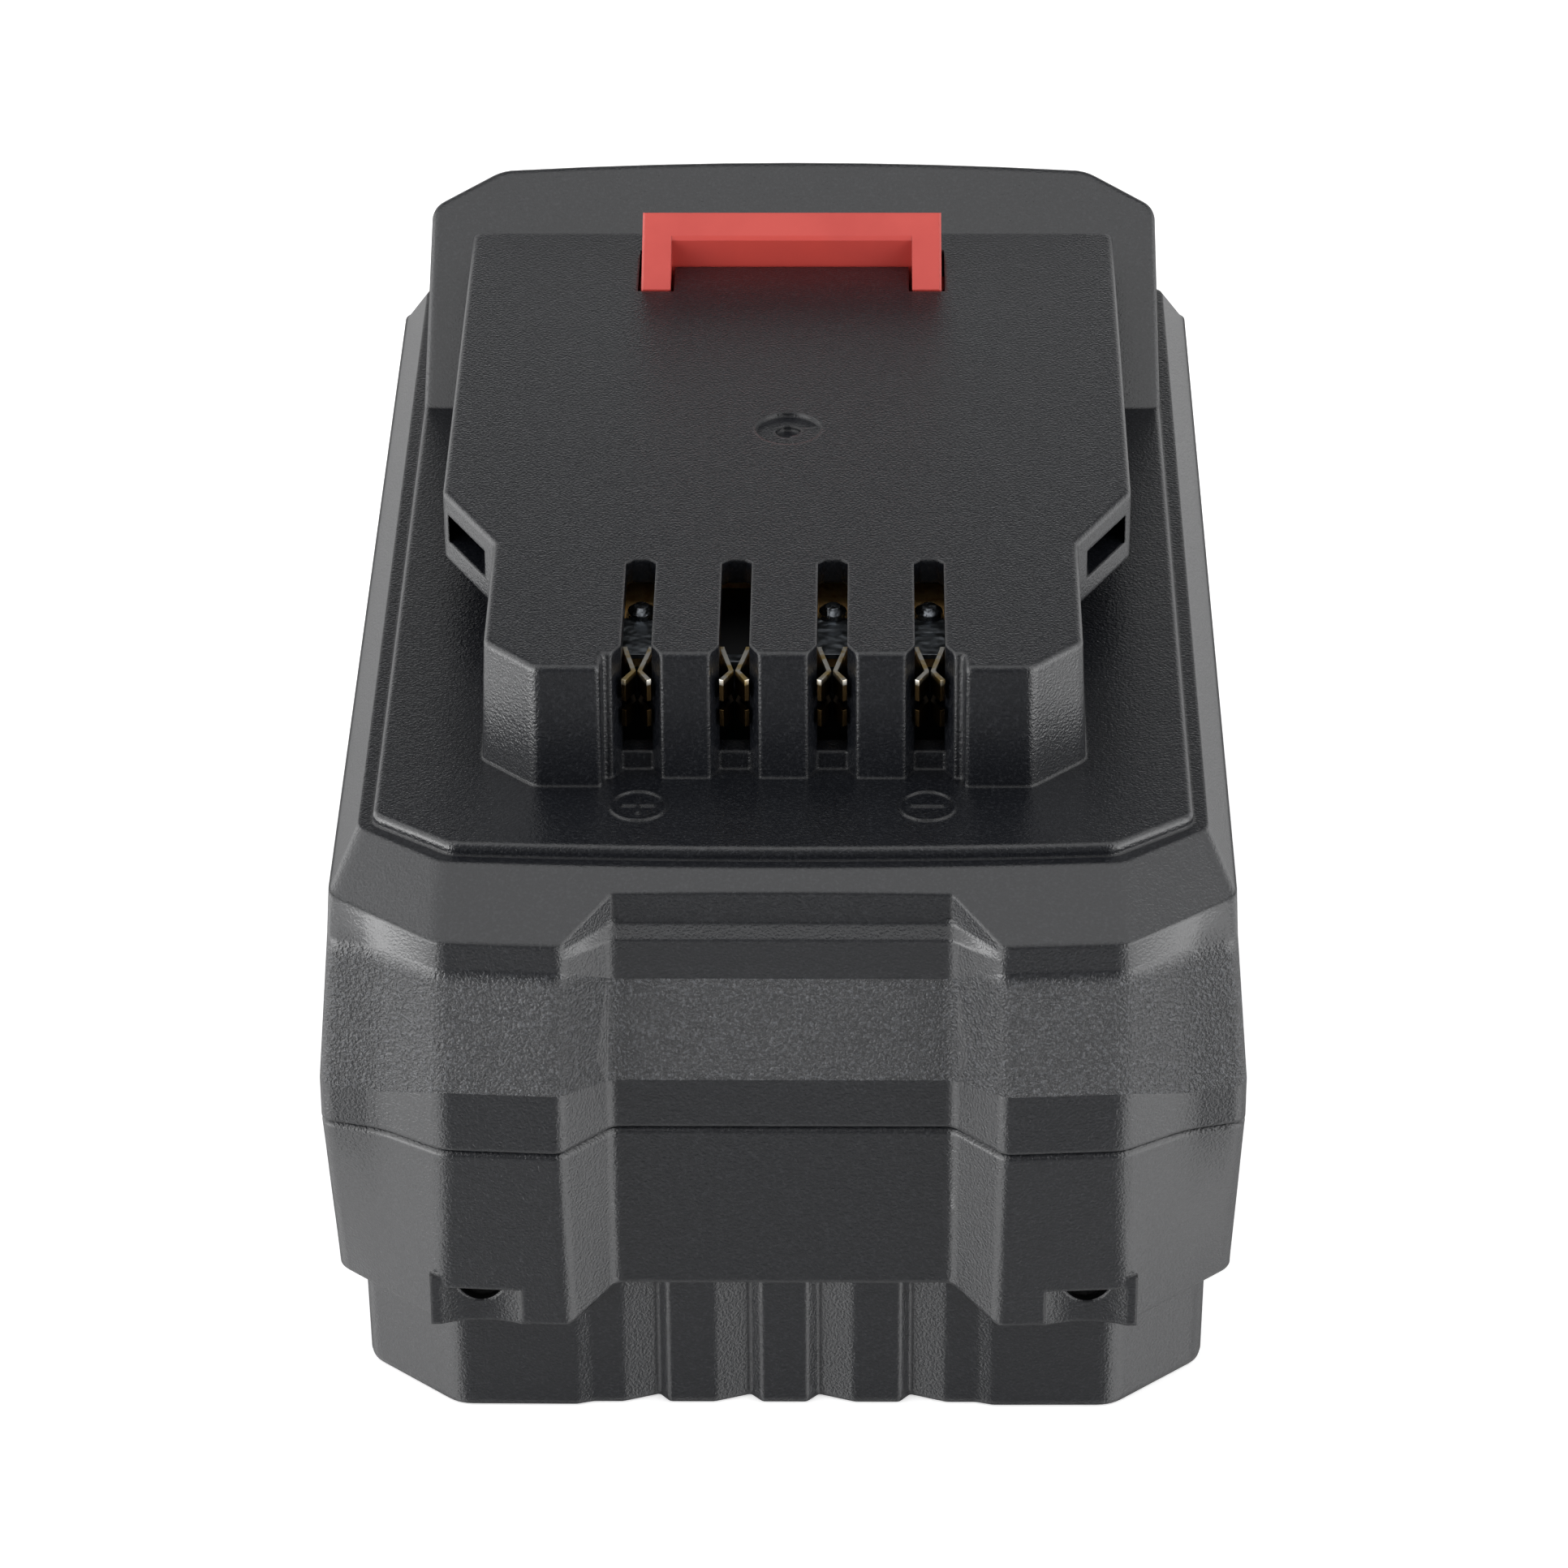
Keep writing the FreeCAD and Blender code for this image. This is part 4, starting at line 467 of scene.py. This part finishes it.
@dataclass
class Studio:
    """Camera, pale floor and soft lights. None of it is part of the object."""

    camera_place_mm: tuple[float, float, float] = (6.78, -484.15, 323.15)
    camera_down_deg: float = 31.37
    camera_turn_deg: float = -0.867
    camera_roll_deg: float = -0.383
    sensor_mm: float = 36.0
    lens_mm: float = 145.57
    floor_m: float = 8.0
    floor_drop_mm: float = 0.05
    floor_white: float = 0.8
    floor_glow: float = 0.55
    table_facing: tuple[float, float] = (0.40, 0.75)
    table_gloss: tuple[float, float] = (0.60, 1.0)
    table_roughness: float = 0.12
    horizon_strength: float = 1.0
    room_strength: float = 0.09
    horizon_rise: tuple[float, float] = (0.25, 0.40)
    horizon_behind: tuple[float, float] = (-0.2, 0.2)
    softboxes: tuple[Softbox, ...] = (
        Softbox("softbox_top", (0.0, 0.0, 0.9), (1.2, 1.0), 4.00, (0.0, 0.0, 0.0)),
        Softbox("softbox_front", (0.0, -0.95, 0.75), (0.6, 0.4), 0.10),
        Softbox("panel_left", (-0.49, -0.285, 0.42), (0.55, 0.84), 3.30, (0.0, 0.0, 0.42)),
        Softbox("panel_right", (0.49, -0.285, 0.42), (0.55, 0.84), 3.30, (0.0, 0.0, 0.42)),
        Softbox("strip_left", (-0.47, -0.285, 0.07), (0.55, 0.12), 0.90, (0.0, 0.0, 0.07)),
        Softbox("strip_right", (0.47, -0.285, 0.07), (0.55, 0.12), 0.40, (0.0, 0.0, 0.07)),
        Softbox("panel_left_rear", (-0.54, 0.2, 0.42), (0.45, 0.84), 1.80, (0.0, 0.0, 0.42)),
        Softbox("panel_right_rear", (0.54, 0.2, 0.42), (0.45, 0.84), 1.00, (0.0, 0.0, 0.42)),
        Softbox("panel_rear", (0.0, 1.1, 0.35), (1.4, 0.5), 0.10),
    )

    def build(self) -> None:
        """Set up everything around the object."""
        self.camera()
        self.floor()
        for softbox in self.softboxes:
            softbox.build()
        self.world()
        bpy.context.scene.view_settings.view_transform = "Standard"

    def camera(self) -> None:
        """Place the camera from its position and three angles: down, turn and roll."""
        down, turn, roll = (math.radians(a) for a in (self.camera_down_deg, self.camera_turn_deg,
                                                      self.camera_roll_deg))
        ahead = Vector((math.sin(turn) * math.cos(down), math.cos(turn) * math.cos(down), -math.sin(down)))
        level = Vector((math.cos(turn), -math.sin(turn), 0.0))
        above = level.cross(ahead)
        right = math.cos(roll) * level + math.sin(roll) * above
        up = -math.sin(roll) * level + math.cos(roll) * above
        lens = bpy.data.cameras.new("camera")
        lens.sensor_width = self.sensor_mm
        lens.lens = self.lens_mm
        lens.clip_start = 0.01
        view = bpy.data.objects.new("camera", lens)
        turned = Matrix((right, up, -ahead)).transposed().to_4x4()
        view.matrix_world = Matrix.Translation(Vector(self.camera_place_mm) * MM) @ turned
        bpy.context.scene.collection.objects.link(view)
        bpy.context.scene.camera = view

    def floor(self) -> None:
        """Lay a wide pale floor that shows white where no shadow falls."""
        half = self.floor_m / 2
        mesh = bpy.data.meshes.new("floor")
        level = -self.floor_drop_mm * MM
        corners = [(-half, -half, level), (half, -half, level), (half, half, level), (-half, half, level)]
        mesh.from_pydata(corners, [], [(0, 1, 2, 3)])
        floor = bpy.data.objects.new("floor", mesh)
        bpy.context.scene.collection.objects.link(floor)
        material, tree = new_material("Paper_white_matt")
        white = self.floor_white
        path = add_node(tree, "ShaderNodeLightPath").outputs
        paper = add_node(tree, "ShaderNodeBsdfDiffuse", {"Color": (white, white, white, 1.0)})
        gloss = add_node(tree, "ShaderNodeBsdfGlossy", {"Color": (1.0, 1.0, 1.0, 1.0),
                                                        "Roughness": self.table_roughness})
        mirrored = arithmetic(tree, "MAXIMUM", path["Is Glossy Ray"], path["Is Transmission Ray"])
        facing = add_node(tree, "ShaderNodeLayerWeight", {"Blend": 0.5}).outputs["Facing"]
        glancing = ramp(tree, facing, self.table_facing, self.table_gloss)
        gloss_share = arithmetic(tree, "MULTIPLY", mirrored, glancing)
        table = add_node(tree, "ShaderNodeMixShader", {0: gloss_share, 1: paper.outputs[0],
                                                       2: gloss.outputs[0]})
        strength = arithmetic(tree, "MULTIPLY", path["Is Camera Ray"], self.floor_glow)
        glow = add_node(tree, "ShaderNodeEmission", {"Color": (1.0, 1.0, 1.0, 1.0), "Strength": strength})
        both = add_node(tree, "ShaderNodeAddShader", {0: table.outputs[0], 1: glow.outputs[0]})
        add_node(tree, "ShaderNodeOutputMaterial", {"Surface": both.outputs[0]})
        mesh.materials.append(material)

    def world(self) -> None:
        """Surround the floor with a white backdrop at the horizon, under a dim room."""
        world = bpy.data.worlds.new("studio")
        world.use_nodes = True
        tree = world.node_tree
        tree.nodes.clear()
        direction = add_node(tree, "ShaderNodeTexCoord").outputs["Generated"]
        parts = add_node(tree, "ShaderNodeSeparateXYZ", {0: direction}).outputs
        low = ramp(tree, parts[2], self.horizon_rise, (1.0, 0.0))
        behind = ramp(tree, parts[1], self.horizon_behind, (0.0, 1.0))
        band = arithmetic(tree, "MULTIPLY", low, behind)
        backdrop = arithmetic(tree, "MULTIPLY", band, self.horizon_strength)
        strength = arithmetic(tree, "MAXIMUM", backdrop, self.room_strength)
        path = add_node(tree, "ShaderNodeLightPath").outputs
        shown = add_node(tree, "ShaderNodeMix", {0: path["Is Camera Ray"], 2: strength, 3: 1.0},
                         data_type="FLOAT").outputs[0]
        room = add_node(tree, "ShaderNodeBackground", {"Color": (1.0, 1.0, 1.0, 1.0), "Strength": shown})
        add_node(tree, "ShaderNodeOutputWorld", {"Surface": room.outputs[0]})
        bpy.context.scene.world = world


def main() -> None:
    """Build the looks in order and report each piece."""
    Studio().build()
    for group in sub_assemblies():
        group.build()
        group.dress()


if __name__ == "__main__":
    logging.basicConfig(level=logging.INFO)
    main()
